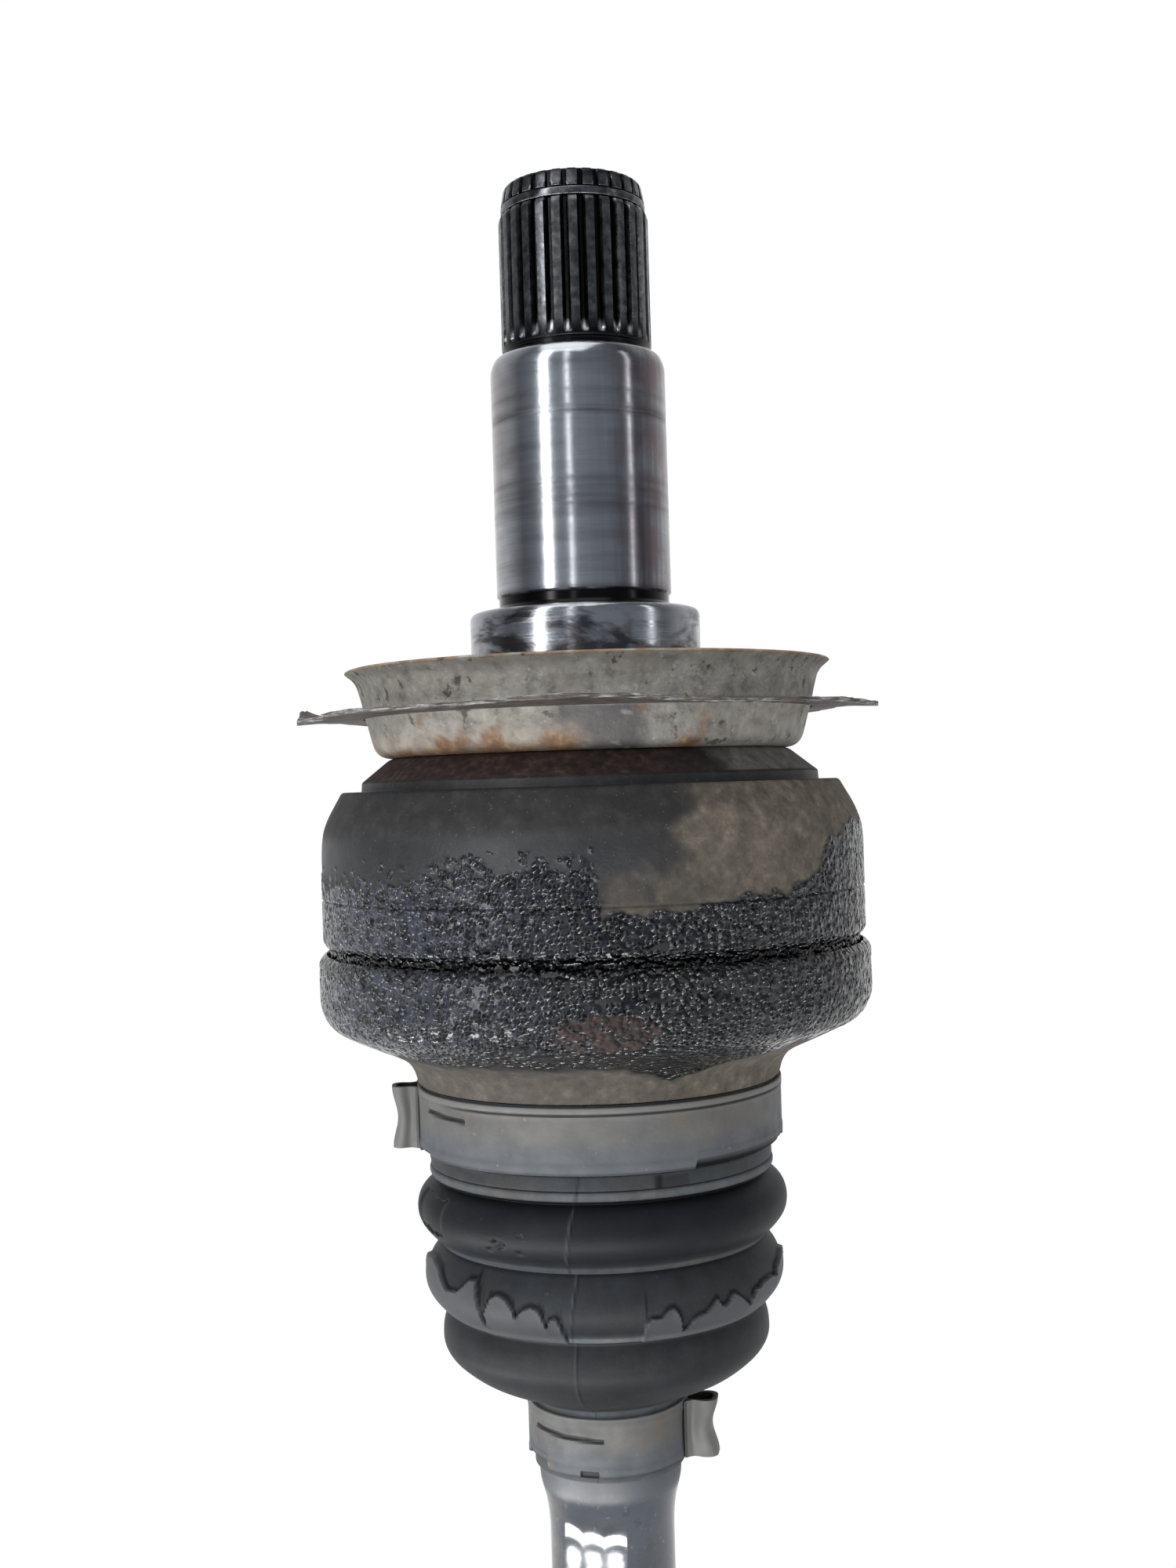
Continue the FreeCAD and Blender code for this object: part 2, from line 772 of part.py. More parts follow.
def boot_can():
    """Pressed can rolled over the drum's end, drawn in to the neck that carries the boot."""
    t = v.can_sheet
    inside = v.drum_radius - 0.5
    outside = inside + t
    bend_z = z_drum_end + v.can_bend
    mid_z = z_drum_end - v.can_mid_drop
    outer = [
        *rounded(outside, z_can_top, t * 0.8, (1, 0), (0, -1)), at(outside, bend_z),
        mid(outside - 2.0, z_drum_end - 1.6),
        at(outside - 8.2, z_drum_end - 4.4),
        at(v.can_mid, mid_z),
        mid(v.can_mid - 2.3, z_can_lip + 3.8),
        at(v.can_lip, z_can_lip),
        at(v.can_neck, z_can_lip),
        at(v.can_neck, z_can_end),
    ]
    inner = [
        at(v.can_neck - t, z_can_end),
        at(v.can_neck - t, z_can_lip + t),
        at(v.can_lip - t, z_can_lip + t),
        mid(v.can_mid - 2.3 - t, z_can_lip + 4.0 + t * 0.4),
        at(v.can_mid - t * 0.4, mid_z + t),
        at(outside - 8.2 - t * 0.4, z_drum_end - 4.4 + t),
        at(inside - v.drum_end_chamfer, z_drum_end - 0.1),
        at(inside, z_drum_end + v.drum_end_chamfer - 0.1),
        at(inside, z_can_top),
    ]
    return turned("boot_can", outer + inner)


def can_seal_ring():
    """Rubber ring in the drum's groove, squeezed flat by the can."""
    z = z_drum_end + v.seal_inset
    half = v.seal_section * 0.5
    seat_r = v.drum_radius - 0.5
    low = seat_r - v.seal_depth
    return turned("can_seal_ring", [
        *rounded(low, z - half, 0.8, (0, -1), (1, 0)), *rounded(seat_r, z - half, 0.8, (1, 0), (0, 1)),
        *rounded(seat_r, z + half, 0.8, (0, 1), (-1, 0)), *rounded(low, z + half, 0.8, (-1, 0), (0, -1)),
    ])


def ball_stop_ring():
    """Round wire ring in the drum's mouth."""
    radius = v.inner_bore + v.stop_wire * 0.9
    body = new_body("ball_stop_ring")
    sketch = new_sketch(body, "ball_stop_ring_section", "XZ_Plane")
    draw_circle(sketch, radius, z_stop_ring, v.stop_wire - 0.05)
    feature = body.newObject("PartDesign::Revolution", "ball_stop_ring_turned")
    feature.Profile = sketch
    feature.ReferenceAxis = (sketch, ["V_Axis"])
    feature.Midplane = True
    feature.Angle = 350
    return body


# Races, cages and balls


def race(label, height, radius, half, face, land, bore):
    """Blank of a race: a sphere cut off by two coned ends, bored for the bar."""
    land_r = root(radius * radius - land * land)
    return turned(label, [
        at(bore, height - half), at(face, height - half), at(land_r, height - land),
        mid(radius, height), at(land_r, height + land), at(face, height + half),
        at(bore, height + half),
    ])


def cage(label, height, radius, bore, half):
    """A cage: the ring between two spheres about the joint centre."""
    end_out = root(radius * radius - half * half)
    end_in = root(bore * bore - half * half)
    return turned(label, [
        at(end_in, height - half), at(end_out, height - half), mid(radius, height),
        at(end_out, height + half), at(end_in, height + half), mid(bore, height),
    ])


def inner_race():
    """Inner race of the plunging joint, with two tracks for each ball."""
    body = race("inner_race", z_inner, v.inner_race_radius, v.inner_race_half,
                v.inner_race_face, v.inner_race_land, v.bar_spline)
    spread = turn_of((1 - corner_cosine) * 0.75, 1)
    tracks = []
    for name, side in (("left", -1), ("right", 1)):
        tracks.append(ball_track(body, f"inner_race_track_{name}", z_inner, spread * side,
                                 v.inner_pitch, v.inner_ball + v.track_gap, 80))
    around(body, tracks, COUNT, "inner_race_tracks")
    return body


def outer_tracks(body, name, height, shift, sweep):
    """Tracks of the fixed joint: each ball's own meridian, and that meridian moved by the swing."""
    tube = v.outer_ball + v.track_gap
    for index in range(COUNT):
        azimuth = 360 * index / COUNT
        ball_track(body, f"{name}_{index}", height, azimuth, v.outer_pitch, tube, sweep)
        if index % (COUNT // 2):
            side = 1 if index % (COUNT // 2) == 1 else -1
            ball_track(body, f"{name}_{index}_swing", height, azimuth + shift * side,
                       v.outer_pitch, tube, sweep)


def outer_race():
    """Star of the fixed joint."""
    body = race("outer_race", z_outer, v.outer_race_radius, v.outer_race_half,
                v.outer_race_face, v.outer_race_land, v.bar_spline)
    swing = turn_of(cosine(v.outer_tilt) * math.sqrt(3), 1) - 60
    outer_tracks(body, "outer_race_track", z_outer, swing, 100)
    return body


def outer_joint_housing():
    """Bell with a spherical bore and six tracks, and the stub for the wheel hub."""
    mouth_in = root(v.outer_bore * v.outer_bore - v.bell_mouth * v.bell_mouth)
    deep = v.bell_mouth - v.bell_mouth_chamfer
    deep_in = root(v.outer_bore * v.outer_bore - deep * deep)
    mouth_r = mouth_in + v.bell_mouth_chamfer
    relief_low = z_hub_spline - v.thread_relief_length
    body = turned("outer_joint_housing", [
        at(deep_in, z_outer + deep), at(mouth_r, z_bell_mouth),
        at(v.bell_radius - 1.2, z_bell_mouth), at(v.bell_radius, z_bell_mouth - 1.2),
        at(v.bell_radius, z_bell_skirt),
        mid(v.bell_radius - 1.1, z_bell_skirt - 4.2),
        at(v.bell_dome_radius - 1.5, z_bell_skirt - 9),
        at(v.bell_neck + 6, z_outer - v.bell_dome_drop - 6.5),
        mid(v.bell_neck + 1.6, z_outer - v.bell_dome_drop - 9.2),
        at(v.bell_neck, z_outer - v.bell_dome_drop - 11.5),
        at(v.bell_neck, z_bell_face + 0.8), at(v.bell_neck - 0.8, z_bell_face),
        at(v.hub_seat, z_bell_face), at(v.hub_seat, z_hub_seat + 1.4),
        at(v.hub_seat - 1.4, z_hub_seat), at(v.hub_spline, z_hub_seat),
        at(v.hub_spline, z_hub_spline + 1), at(v.hub_spline - 1, z_hub_spline),
        at(v.thread_relief, z_hub_spline), at(v.thread_relief, relief_low),
        at(v.thread_radius, relief_low - 1.4), at(v.thread_radius, z_hub_end + v.thread_chamfer),
        at(v.thread_radius - v.thread_chamfer, z_hub_end), at(v.centre_hole, z_hub_end),
        at(0, z_hub_end + v.centre_hole * 1.7),
        at(0, z_outer - v.outer_bore),
        mid(v.outer_bore * math.sqrt(0.75), z_outer - v.outer_bore * 0.5),
    ])
    swing = turn_of(math.sqrt(3), cosine(v.outer_tilt)) - 60
    outer_tracks(body, "bell_track", z_outer, swing, 110)
    teeth(body, "hub_spline", v.hub_spline, v.hub_spline_depth, v.hub_spline_teeth,
          z_hub_spline - 1, z_hub_seat + 1)
    return body


def circlip(label, z, seat):
    """Open ring of round wire in the bar's groove."""
    body = new_body(label)
    sketch = new_sketch(body, f"{label}_section", "XZ_Plane")
    draw_circle(sketch, seat - v.circlip_depth + v.circlip_wire * 0.5, z, v.circlip_wire * 0.5 - 0.03)
    feature = body.newObject("PartDesign::Revolution", f"{label}_turned")
    feature.Profile = sketch
    feature.ReferenceAxis = (sketch, ["V_Axis"])
    feature.Midplane = True
    feature.Angle = 330
    return body


# Bar and boots

z_inner_clip = z_inner + v.inner_race_half + v.circlip_wire * 0.5
z_outer_clip = z_outer - v.outer_race_half - v.circlip_wire * 0.5


def shaft_bar():
    """Solid bar: stepped ends in the races, a raised seat for each small cuff."""
    half_clip = v.circlip_wire * 0.5
    clip_r = v.bar_spline - v.circlip_depth
    inner_stop = z_inner - v.inner_race_half
    outer_stop = z_outer + v.outer_race_half
    seat_top = z_small_cuff + v.boot_seat_rise
    seat_low = z_small_end - v.boot_seat_rise
    low_seat_top = z_outer_small_end + v.boot_seat_rise
    low_seat_low = z_outer_small - v.boot_seat_rise
    inner_end = z_inner + inner_bar_over
    outer_end = z_outer - v.outer_race_half - v.bar_end
    return turned("shaft_bar", [
        at(0, inner_end), at(v.bar_tip - 1, inner_end), at(v.bar_tip, inner_end - 0.7),
        at(clip_r, z_inner_clip + half_clip), at(clip_r, z_inner_clip - half_clip),
        at(v.bar_spline, z_inner_clip - half_clip), at(v.bar_spline, inner_stop),
        at(v.bar_shoulder, inner_stop), at(v.bar_shoulder, inner_stop - 3),
        at(v.bar_radius, inner_stop - 8),
        at(v.bar_radius, seat_top + v.boot_seat_cone), at(v.boot_seat, seat_top),
        at(v.boot_seat, seat_low), at(v.bar_radius, seat_low - v.boot_seat_cone),
        at(v.bar_radius, low_seat_top + v.boot_seat_cone), at(v.boot_seat, low_seat_top),
        at(v.boot_seat, low_seat_low), at(v.bar_radius, low_seat_low - v.boot_seat_cone),
        at(v.bar_radius, outer_stop + 6), at(v.bar_spline + 0.4, outer_stop + 4),
        at(v.bar_spline + 0.4, outer_stop), at(v.bar_spline, outer_stop),
        at(v.bar_spline, z_outer_clip + half_clip), at(clip_r, z_outer_clip + half_clip),
        at(clip_r, z_outer_clip - half_clip), at(v.bar_tip, outer_end + 0.7),
        at(v.bar_tip - 1, outer_end), at(0, outer_end),
    ])


def inner_boot():
    """Three-fold boot from the can's neck to the bar."""
    bore = v.can_neck + v.boot_gap
    cuff = v.can_neck + v.cuff_wall
    seat = v.boot_seat + v.boot_gap
    lip_z = z_can_end - v.cuff_lip_length
    tail = v.small_cuff_radius
    clamp_r = v.boot_seat + v.cuff_wall * 0.3
    valley_b_z = z_fold_b - v.fold_pitch * 0.47
    crests = [(v.fold_radius_a, z_fold_a), (v.fold_radius_b, z_fold_b), (v.fold_radius_c, z_fold_c)]
    valleys = [(v.valley_radius_a, z_fold_a - v.fold_pitch * 0.5), (v.valley_radius_b, valley_b_z)]
    folds = fold_points(crests, valleys, 4.2)
    shoulder = [
        at(v.fold_radius_c * 0.8, z_small_cuff + v.boot_tail * 0.34),
        mid(v.fold_radius_c * 0.62, z_small_cuff + v.boot_tail * 0.16),
    ]
    outer = [
        at(bore, z_can_lip - 0.2), at(cuff, z_can_lip - 0.2), at(cuff, z_can_end),
        at(v.cuff_lip, z_can_end - 0.6), at(v.cuff_lip, lip_z + 0.6), *folds, *shoulder,
        at(tail, z_small_cuff), at(clamp_r, z_small_cuff - 0.8),
        at(clamp_r, z_small_end + 0.6), at(clamp_r - 0.5, z_small_end),
    ]
    inner_folds = inward(folds, v.boot_wall)
    inner = [
        at(seat, z_small_end), at(seat, z_small_cuff + 1.5),
        at(v.fold_radius_c * 0.7, z_small_cuff + v.boot_tail * 0.34 + 2.4), *inner_folds,
        at(v.cuff_lip - v.boot_wall, lip_z + 0.6), at(bore, z_can_end - v.boot_gap),
    ]
    return turned("inner_boot", outer + inner)


def outer_boot():
    """Bellows boot of the outer joint, five folds that narrow towards the bar."""
    bore = v.bell_radius + v.boot_gap
    cuff = v.bell_radius + v.outer_cuff_wall
    seat = v.boot_seat + v.boot_gap
    clamp_r = v.boot_seat + v.cuff_wall * 0.3
    count = int(v.outer_fold_count.number)
    pitch = v.outer_boot_length / (v.outer_fold_count + 0.7)
    crests = []
    valleys = []
    for index in range(count):
        crest = v.outer_fold_top - v.outer_fold_step * index
        z = z_outer_small - pitch * (count - index) + pitch * 0.1
        crests.append((crest, z))
        if index < count - 1:
            valleys.append((crest - v.outer_fold_depth, z + pitch * 0.5))
    folds = fold_points(crests, valleys, -2.4)
    outer = [
        at(bore, z_outer_cuff_end), at(cuff, z_outer_cuff_end), at(cuff, z_bell_mouth + 0.4),
        at(cuff - 2.2, z_bell_mouth + 2.6), *folds,
        at(v.small_cuff_radius, z_outer_small), at(clamp_r, z_outer_small + 0.8),
        at(clamp_r, z_outer_small_end - 0.6), at(clamp_r - 0.5, z_outer_small_end),
    ]
    inner = [
        at(seat, z_outer_small_end), at(seat, z_outer_small - 1.5),
        *inward(folds, v.outer_boot_wall),
        at(bore - 3.2, z_bell_mouth + 2.4), at(bore - 3.2, z_bell_mouth + 0.3),
        at(bore, z_bell_mouth + 0.3),
    ]
    return turned("outer_boot", outer + inner)


inner_cage = cage("inner_cage", z_inner, v.inner_cage_radius, v.inner_cage_bore, v.inner_cage_half)
cut_windows(inner_cage, "inner_cage", z_inner, v.inner_ball)
outer_cage = cage("outer_cage", z_outer, v.outer_cage_radius, v.outer_cage_bore, v.outer_cage_half)
cut_windows(outer_cage, "outer_cage", z_outer, v.outer_ball)

parts = [
    inner_joint_housing(),
    stub_snap_ring(),
    dust_shield(),
    deflector_disc(),
    boot_can(),
    can_seal_ring(),
    ball_stop_ring(),
    inner_cage,
    ball_set("inner_balls", v.inner_ball, v.inner_pitch, z_inner),
    inner_race(),
    circlip("inner_race_circlip", z_inner_clip, v.bar_spline),
    inner_boot(),
    ear_clamp("inner_large_clamp", v.can_neck + v.cuff_wall + v.boot_gap,
              (z_can_lip + z_can_end) * 0.5, v.large_clamp_width, 184, -145, [-135, -71]),
    ear_clamp("inner_small_clamp", v.boot_seat + v.cuff_wall * 0.3 + v.boot_gap,
              (z_small_cuff + z_small_end) * 0.5 - 0.1, v.small_clamp_width, -10, -116, [-99]),
    shaft_bar(),
    outer_cage,
    ball_set("outer_balls", v.outer_ball, v.outer_pitch, z_outer),
    outer_race(),
    circlip("outer_race_circlip", z_outer_clip, v.bar_spline),
    outer_boot(),
    ear_clamp("outer_large_clamp", v.bell_radius + v.outer_cuff_wall + v.boot_gap,
              (z_bell_mouth + z_outer_cuff_end) * 0.5, v.small_clamp_width, 140, 100, [60, 85]),
    ear_clamp("outer_small_clamp", v.boot_seat + v.cuff_wall * 0.3 + v.boot_gap,
              (z_outer_small + z_outer_small_end) * 0.5 + 0.1, v.small_clamp_width, 60, -30, [-15]),
    outer_joint_housing(),
]

doc.recompute()
for item in doc.Objects:
    if "Invalid" in item.State or "Error" in item.State:
        raise RuntimeError(f"{item.Name} failed: {item.State}")
for part in parts:
    if part.Shape.isNull() or not part.Shape.isValid():
        raise RuntimeError(f"{part.Label} has no valid shape")

os.makedirs("parts", exist_ok=True)
for part in parts:
    part.Shape.exportStep(f"parts/{part.Label}.step")
    print(part.Label, len(part.Shape.Solids), round(part.Shape.Volume))
print("inner joint centre", z_inner.number, "outer joint centre", z_outer.number)
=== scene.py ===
import json
import math

import bmesh
import bpy
import numpy as np
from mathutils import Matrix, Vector


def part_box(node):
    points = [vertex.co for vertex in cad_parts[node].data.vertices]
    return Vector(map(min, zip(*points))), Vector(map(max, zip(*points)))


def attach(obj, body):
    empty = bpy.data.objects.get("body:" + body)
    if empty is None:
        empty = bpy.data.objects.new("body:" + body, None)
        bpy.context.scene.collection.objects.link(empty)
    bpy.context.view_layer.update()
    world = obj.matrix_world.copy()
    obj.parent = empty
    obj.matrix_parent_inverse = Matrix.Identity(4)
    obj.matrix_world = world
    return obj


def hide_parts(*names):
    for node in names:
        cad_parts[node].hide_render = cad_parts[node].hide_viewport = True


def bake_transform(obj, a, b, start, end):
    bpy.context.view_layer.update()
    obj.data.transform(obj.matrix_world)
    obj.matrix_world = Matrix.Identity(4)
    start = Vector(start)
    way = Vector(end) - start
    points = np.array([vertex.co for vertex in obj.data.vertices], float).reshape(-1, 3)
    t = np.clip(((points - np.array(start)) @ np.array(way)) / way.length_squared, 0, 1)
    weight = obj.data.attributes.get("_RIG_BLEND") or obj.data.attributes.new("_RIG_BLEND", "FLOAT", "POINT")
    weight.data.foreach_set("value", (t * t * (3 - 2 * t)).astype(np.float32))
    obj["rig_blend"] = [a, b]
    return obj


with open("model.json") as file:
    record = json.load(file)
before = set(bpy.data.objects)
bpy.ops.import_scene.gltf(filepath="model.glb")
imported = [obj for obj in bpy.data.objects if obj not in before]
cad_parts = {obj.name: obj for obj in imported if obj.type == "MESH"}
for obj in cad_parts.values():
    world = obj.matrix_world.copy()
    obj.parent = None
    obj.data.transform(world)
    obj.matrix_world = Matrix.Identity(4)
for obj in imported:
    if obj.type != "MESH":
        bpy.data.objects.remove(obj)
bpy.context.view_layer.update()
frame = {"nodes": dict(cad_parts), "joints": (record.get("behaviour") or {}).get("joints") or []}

bl_info = {
    "name": "Half shaft",
    "version": (1, 0, 0),
    "blender": (4, 5, 0),
    "location": "3D View > Sidebar > Half shaft",
    "description": "Builds the look of a used half shaft around its packed frame",
    "category": "Object",
}

MM = 0.001
TURN = 2 * math.pi
FRONT = -math.pi / 2
# Columns of the large surfaces, and how much closer they stand at the front
DRUM_COLUMNS = 430
INNER_BOOT_COLUMNS = 380
SMALL_CUFF_COLUMNS = 320
OUTER_BOOT_COLUMNS = 300
FRONT_CROWD = 0.3


def low(node):
    """Lowest height of a frame node at rest, in millimetres."""
    return float(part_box(node)[0][2]) / MM


def high(node):
    """Highest height of a frame node at rest, in millimetres."""
    return float(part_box(node)[1][2]) / MM


JOINT_HEIGHT = {joint["name"]: joint.get("pos_m", [0, 0, 0])[2] / MM for joint in frame["joints"]}


# Sizes and colours that a user would change


def length(name, default, description):
    """A length property; its default is given in millimetres."""
    return bpy.props.FloatProperty(
        name=name, description=description, default=default * MM, unit="LENGTH", precision=4
    )


def number(name, default, description):
    """A count of teeth or folds."""
    return bpy.props.IntProperty(name=name, description=description, default=default, min=2)


def colour(name, default, description):
    """A linear colour property."""
    return bpy.props.FloatVectorProperty(
        name=name, description=description, default=default, subtype="COLOR", size=3, min=0, max=1
    )


class StubSizes(bpy.types.PropertyGroup):
    """Splined end, seal journal and collar."""

    spline_radius: length("Spline radius", 15, "Over the tooth tops")
    spline_depth: length("Spline depth", 1.35, "Tooth top to root")
    spline_foot: length("Spline foot", 52.9, "Height where the run-outs end")
    spline_teeth: number("Teeth", 28, "Teeth of the spline")
    crown_radius: length("Crown radius", 13.9, "Radius at the end face")
    crown_foot: length("Crown foot radius", 14.45, "Radius beside the ring groove")
    ring_groove: length("Ring groove radius", 12.4, "Radius at the groove's bottom")
    journal_radius: length("Journal radius", 17.5, "Seal journal")
    journal_height: length("Journal height", 48.4, "Top of the full journal")
    journal_top: length("Journal top", 51.4, "End of the rounded edge")
    undercut: length("Undercut depth", 0.45, "Relief above the collar")
    collar_radius: length("Collar radius", 23, "Collar under the journal")
    collar_edge: length("Collar edge", 1.6, "Round of the collar's edge")


class ShieldSizes(bpy.types.PropertyGroup):
    """Pressed cup and thin disc."""

    seat_radius: length("Seat radius", 24, "Where the cup is pressed on")
    rim_radius: length("Rim radius", 48.6, "Flared top rim")
    waist_radius: length("Waist radius", 45, "Wall at the disc")
    foot_radius: length("Foot radius", 42.3, "Wall above the floor")
    waist_height: length("Waist height", -18, "Where the flare starts")
    sheet: length("Sheet", 1.4, "Thickness of the pressed sheet")
    bend: length("Floor bend", 2.8, "Radius between wall and floor")
    disc_radius: length("Disc radius", 58, "Outer edge of the thin disc")


class DrumSizes(bpy.types.PropertyGroup):
    """Neck, drum and can of the inner joint."""

    neck_top: length("Neck top", 39.8, "Cone under the cup")
    neck_foot: length("Neck foot", 45.8, "Foot of the cone")
    cone: length("Cone height", 4.7, "Height of the cone")
    ridge: length("Ridge height", 1.8, "Upright band under the cone")
    shoulder: length("Shoulder radius", 49.7, "Top edge of the drum")
    shoulder_drop: length("Shoulder drop", 10.5, "Height of the rounded shoulder")
    radius: length("Drum radius", 54, "Outside of the drum")
    line_drop: length("Line drop", 21, "Fine line below the drum's top edge")
    bore: length("Bore radius", 42.3, "Clear of the ball tracks")
    can_sheet: length("Can sheet", 1.4, "Thickness of the can")
    can_neck: length("Can neck radius", 32.6, "Neck under the boot's cuff")
    can_lip: length("Can lip radius", 36.3, "Last edge above the clamp")
    grain: length("Grit height", 0.42, "Height of the oily grit")


class BootSizes(bpy.types.PropertyGroup):
    """Inner boot."""

    wall: length("Wall", 2.2, "Rubber thickness")
    cuff_radius: length("Cuff radius", 35.6, "Outside of the large cuff")
    lip_radius: length("Lip radius", 34.1, "Below the large clamp")
    lip_length: length("Lip length", 4.8, "Length of that lip")
    first_fold: length("First fold drop", 11.4, "From the can's end to the first crest")
    pitch: length("Fold pitch", 13.4, "Crest to crest")
    crest_a: length("First crest", 37.1, "Radius of the first crest")
    crest_b: length("Second crest", 35.5, "Radius of the second crest")
    crest_c: length("Third crest", 32.7, "Radius of the third crest")
    valley_a: length("First valley", 32.3, "Radius of the first valley")
    valley_b: length("Second valley", 30.8, "Radius of the second valley")
    cuff_length: length("Small cuff length", 13.8, "Small cuff")
    small_radius: length("Small cuff radius", 15.1, "Outside of the small cuff")
    flake: length("Skin step", 0.45, "Step at the torn skin")


class BarSizes(bpy.types.PropertyGroup):
    """Bar between the joints."""

    radius: length("Bar radius", 12.45, "Plain bar")
    seat: length("Seat radius", 14.2, "Under each small cuff")
    seat_rise: length("Seat overrun", 3, "Seat past the cuff")
    cone: length("Seat cone", 7, "Taper from seat to bar")
    end_radius: length("End radius", 13, "In the races")
    clamp_sheet: length("Clamp sheet", 0.8, "Thickness of the clamp bands")
    ear_height: length("Ear height", 5.2, "Ear above the band")
    ear_width: length("Ear width", 8, "Ear along the band")


class OuterSizes(bpy.types.PropertyGroup):
    """Outer joint and its boot."""

    bell_radius: length("Bell radius", 45, "Outside of the bell")
    mouth: length("Mouth height", 13, "Above the joint's centre")
    skirt: length("Skirt", 30, "Length of the bell's cylinder")
    dome_drop: length("Dome drop", 31, "Below the joint's centre")
    neck: length("Neck radius", 26, "Behind the bell")
    face_drop: length("Face drop", 46, "Bearing face below the joint's centre")
    seat: length("Hub seat radius", 21, "Round the face")
    seat_length: length("Hub seat length", 6, "Length of the seat")
    spline_radius: length("Hub spline radius", 14.5, "Over the teeth")
    spline_depth: length("Hub spline depth", 1.2, "Tooth top to root")
    spline_teeth: number("Hub teeth", 30, "Teeth of the hub spline")
    spline_length: length("Hub spline length", 42, "Length of the spline")
    thread_radius: length("Thread radius", 12, "Over the thread")
    thread_pitch: length("Thread pitch", 1.5, "Crest to crest")
    cuff_wall: length("Cuff wall", 3.2, "Large cuff on the bell")
    boot_length: length("Boot length", 74, "From mouth to small cuff")
    fold_top: length("First crest", 43, "Largest crest")
    fold_step: length("Crest step", 5.2, "Each crest is smaller by this")
    fold_depth: length("Fold depth", 6, "Crest to valley")
    folds: number("Folds", 5, "Folds of the boot")


class Colours(bpy.types.PropertyGroup):
    """Finishes."""

    grease: colour("Grease", (0.012, 0.012, 0.013), "Dark grease in the splines")
    steel: colour("Steel", (0.53, 0.55, 0.585), "Ground steel")
    zinc: colour("Zinc", (0.42, 0.405, 0.365), "Galvanised sheet")
    old_rust: colour("Old rust", (0.035, 0.017, 0.012), "Dark rust")
    coat: colour("Coating", (0.0155, 0.015, 0.0150), "Black coating of drum and can")
    dust: colour("Dust", (0.17, 0.145, 0.11), "Road dust")
    rubber: colour("Rubber", (0.0105, 0.0125, 0.0165), "Boot rubber")
    rubber_dust: colour("Rubber dust", (0.27, 0.30, 0.325), "Dust on the rubber's edges")
    clamp: colour("Clamp", (0.135, 0.14, 0.148), "Dusty clamp band")
    paint: colour("Paint", (0.07, 0.088, 0.118), "Bar paint")


class StudioSettings(bpy.types.PropertyGroup):
    """Camera, lamps and floor."""

    distance: length("Distance", 360, "Camera to the shaft's axis")
    height: length("Height", -34.5, "Camera height")
    side: length("Side", -0.4, "Camera to the left of the axis")
    lean: bpy.props.FloatProperty(
        name="Lean", description="Roll of the camera", default=math.radians(1.75), subtype="ANGLE"
    )
    lens: bpy.props.FloatProperty(name="Lens", description="Focal length in millimetres", default=41.1)
    ambient: bpy.props.FloatProperty(name="Ambient", description="Light from all round", default=0.52)


class HalfShaft(bpy.types.PropertyGroup):
    """All settings of the half shaft."""

    stub: bpy.props.PointerProperty(type=StubSizes)
    shield: bpy.props.PointerProperty(type=ShieldSizes)
    drum: bpy.props.PointerProperty(type=DrumSizes)
    boot: bpy.props.PointerProperty(type=BootSizes)
    bar: bpy.props.PointerProperty(type=BarSizes)
    outer: bpy.props.PointerProperty(type=OuterSizes)
    colours: bpy.props.PointerProperty(type=Colours)
    studio: bpy.props.PointerProperty(type=StudioSettings)


def look():
    """The settings."""
    return bpy.context.scene.half_shaft


class Sizes:
    """A group of settings, with its lengths in millimetres and its counts as they are."""

    def __init__(self, group):
        self.group = group

    def __getattr__(self, name):
        value = getattr(self.group, name)
        return value if isinstance(value, int) else value / MM


def sizes(group):
    """The sizes of one group."""
    return Sizes(getattr(look(), group))


# Surfaces as arrays, worked out in millimetres


def smooth(t):
    """Ease from 0 to 1: three t squared less two t cubed, held outside that range."""
    t = np.clip(t, 0, 1)
    return t * t * (3 - 2 * t)


def place_of(r, turn, z):
    """The points at radius r, angle turn and height z as stacked x, y and z."""
    return np.stack([r * np.cos(turn), r * np.sin(turn), z])


def lattice_noise(spot, cell, seed):
    """Noise from 0 to 1: random numbers on a cubic lattice, eased between the corners of each cell."""
    table = np.random.RandomState(seed).rand(32, 32, 32)
    place = spot / cell + 500.3
    whole = np.floor(place).astype(int)
    part = smooth(place - whole)
    total = 0
    for corner in range(8):
        step = np.array([corner & 1, corner >> 1 & 1, corner >> 2 & 1])
        index = [(whole[k] + step[k]) % 32 for k in range(3)]
        weight = 1
        for k in range(3):
            weight = weight * (part[k] if step[k] else 1 - part[k])
        total = total + weight * table[index[0], index[1], index[2]]
    return total


def layered_noise(spot, cell, seed, layers=3):
    """Sum of lattice noises, each with half the cell and height of the last, scaled to 0 to 1."""
    total = 0
    weight_sum = 0
    for layer in range(layers):
        weight = 0.5 ** layer
        total = total + weight * lattice_noise(spot, cell * weight, seed + layer)
        weight_sum += weight
    return total / weight_sum


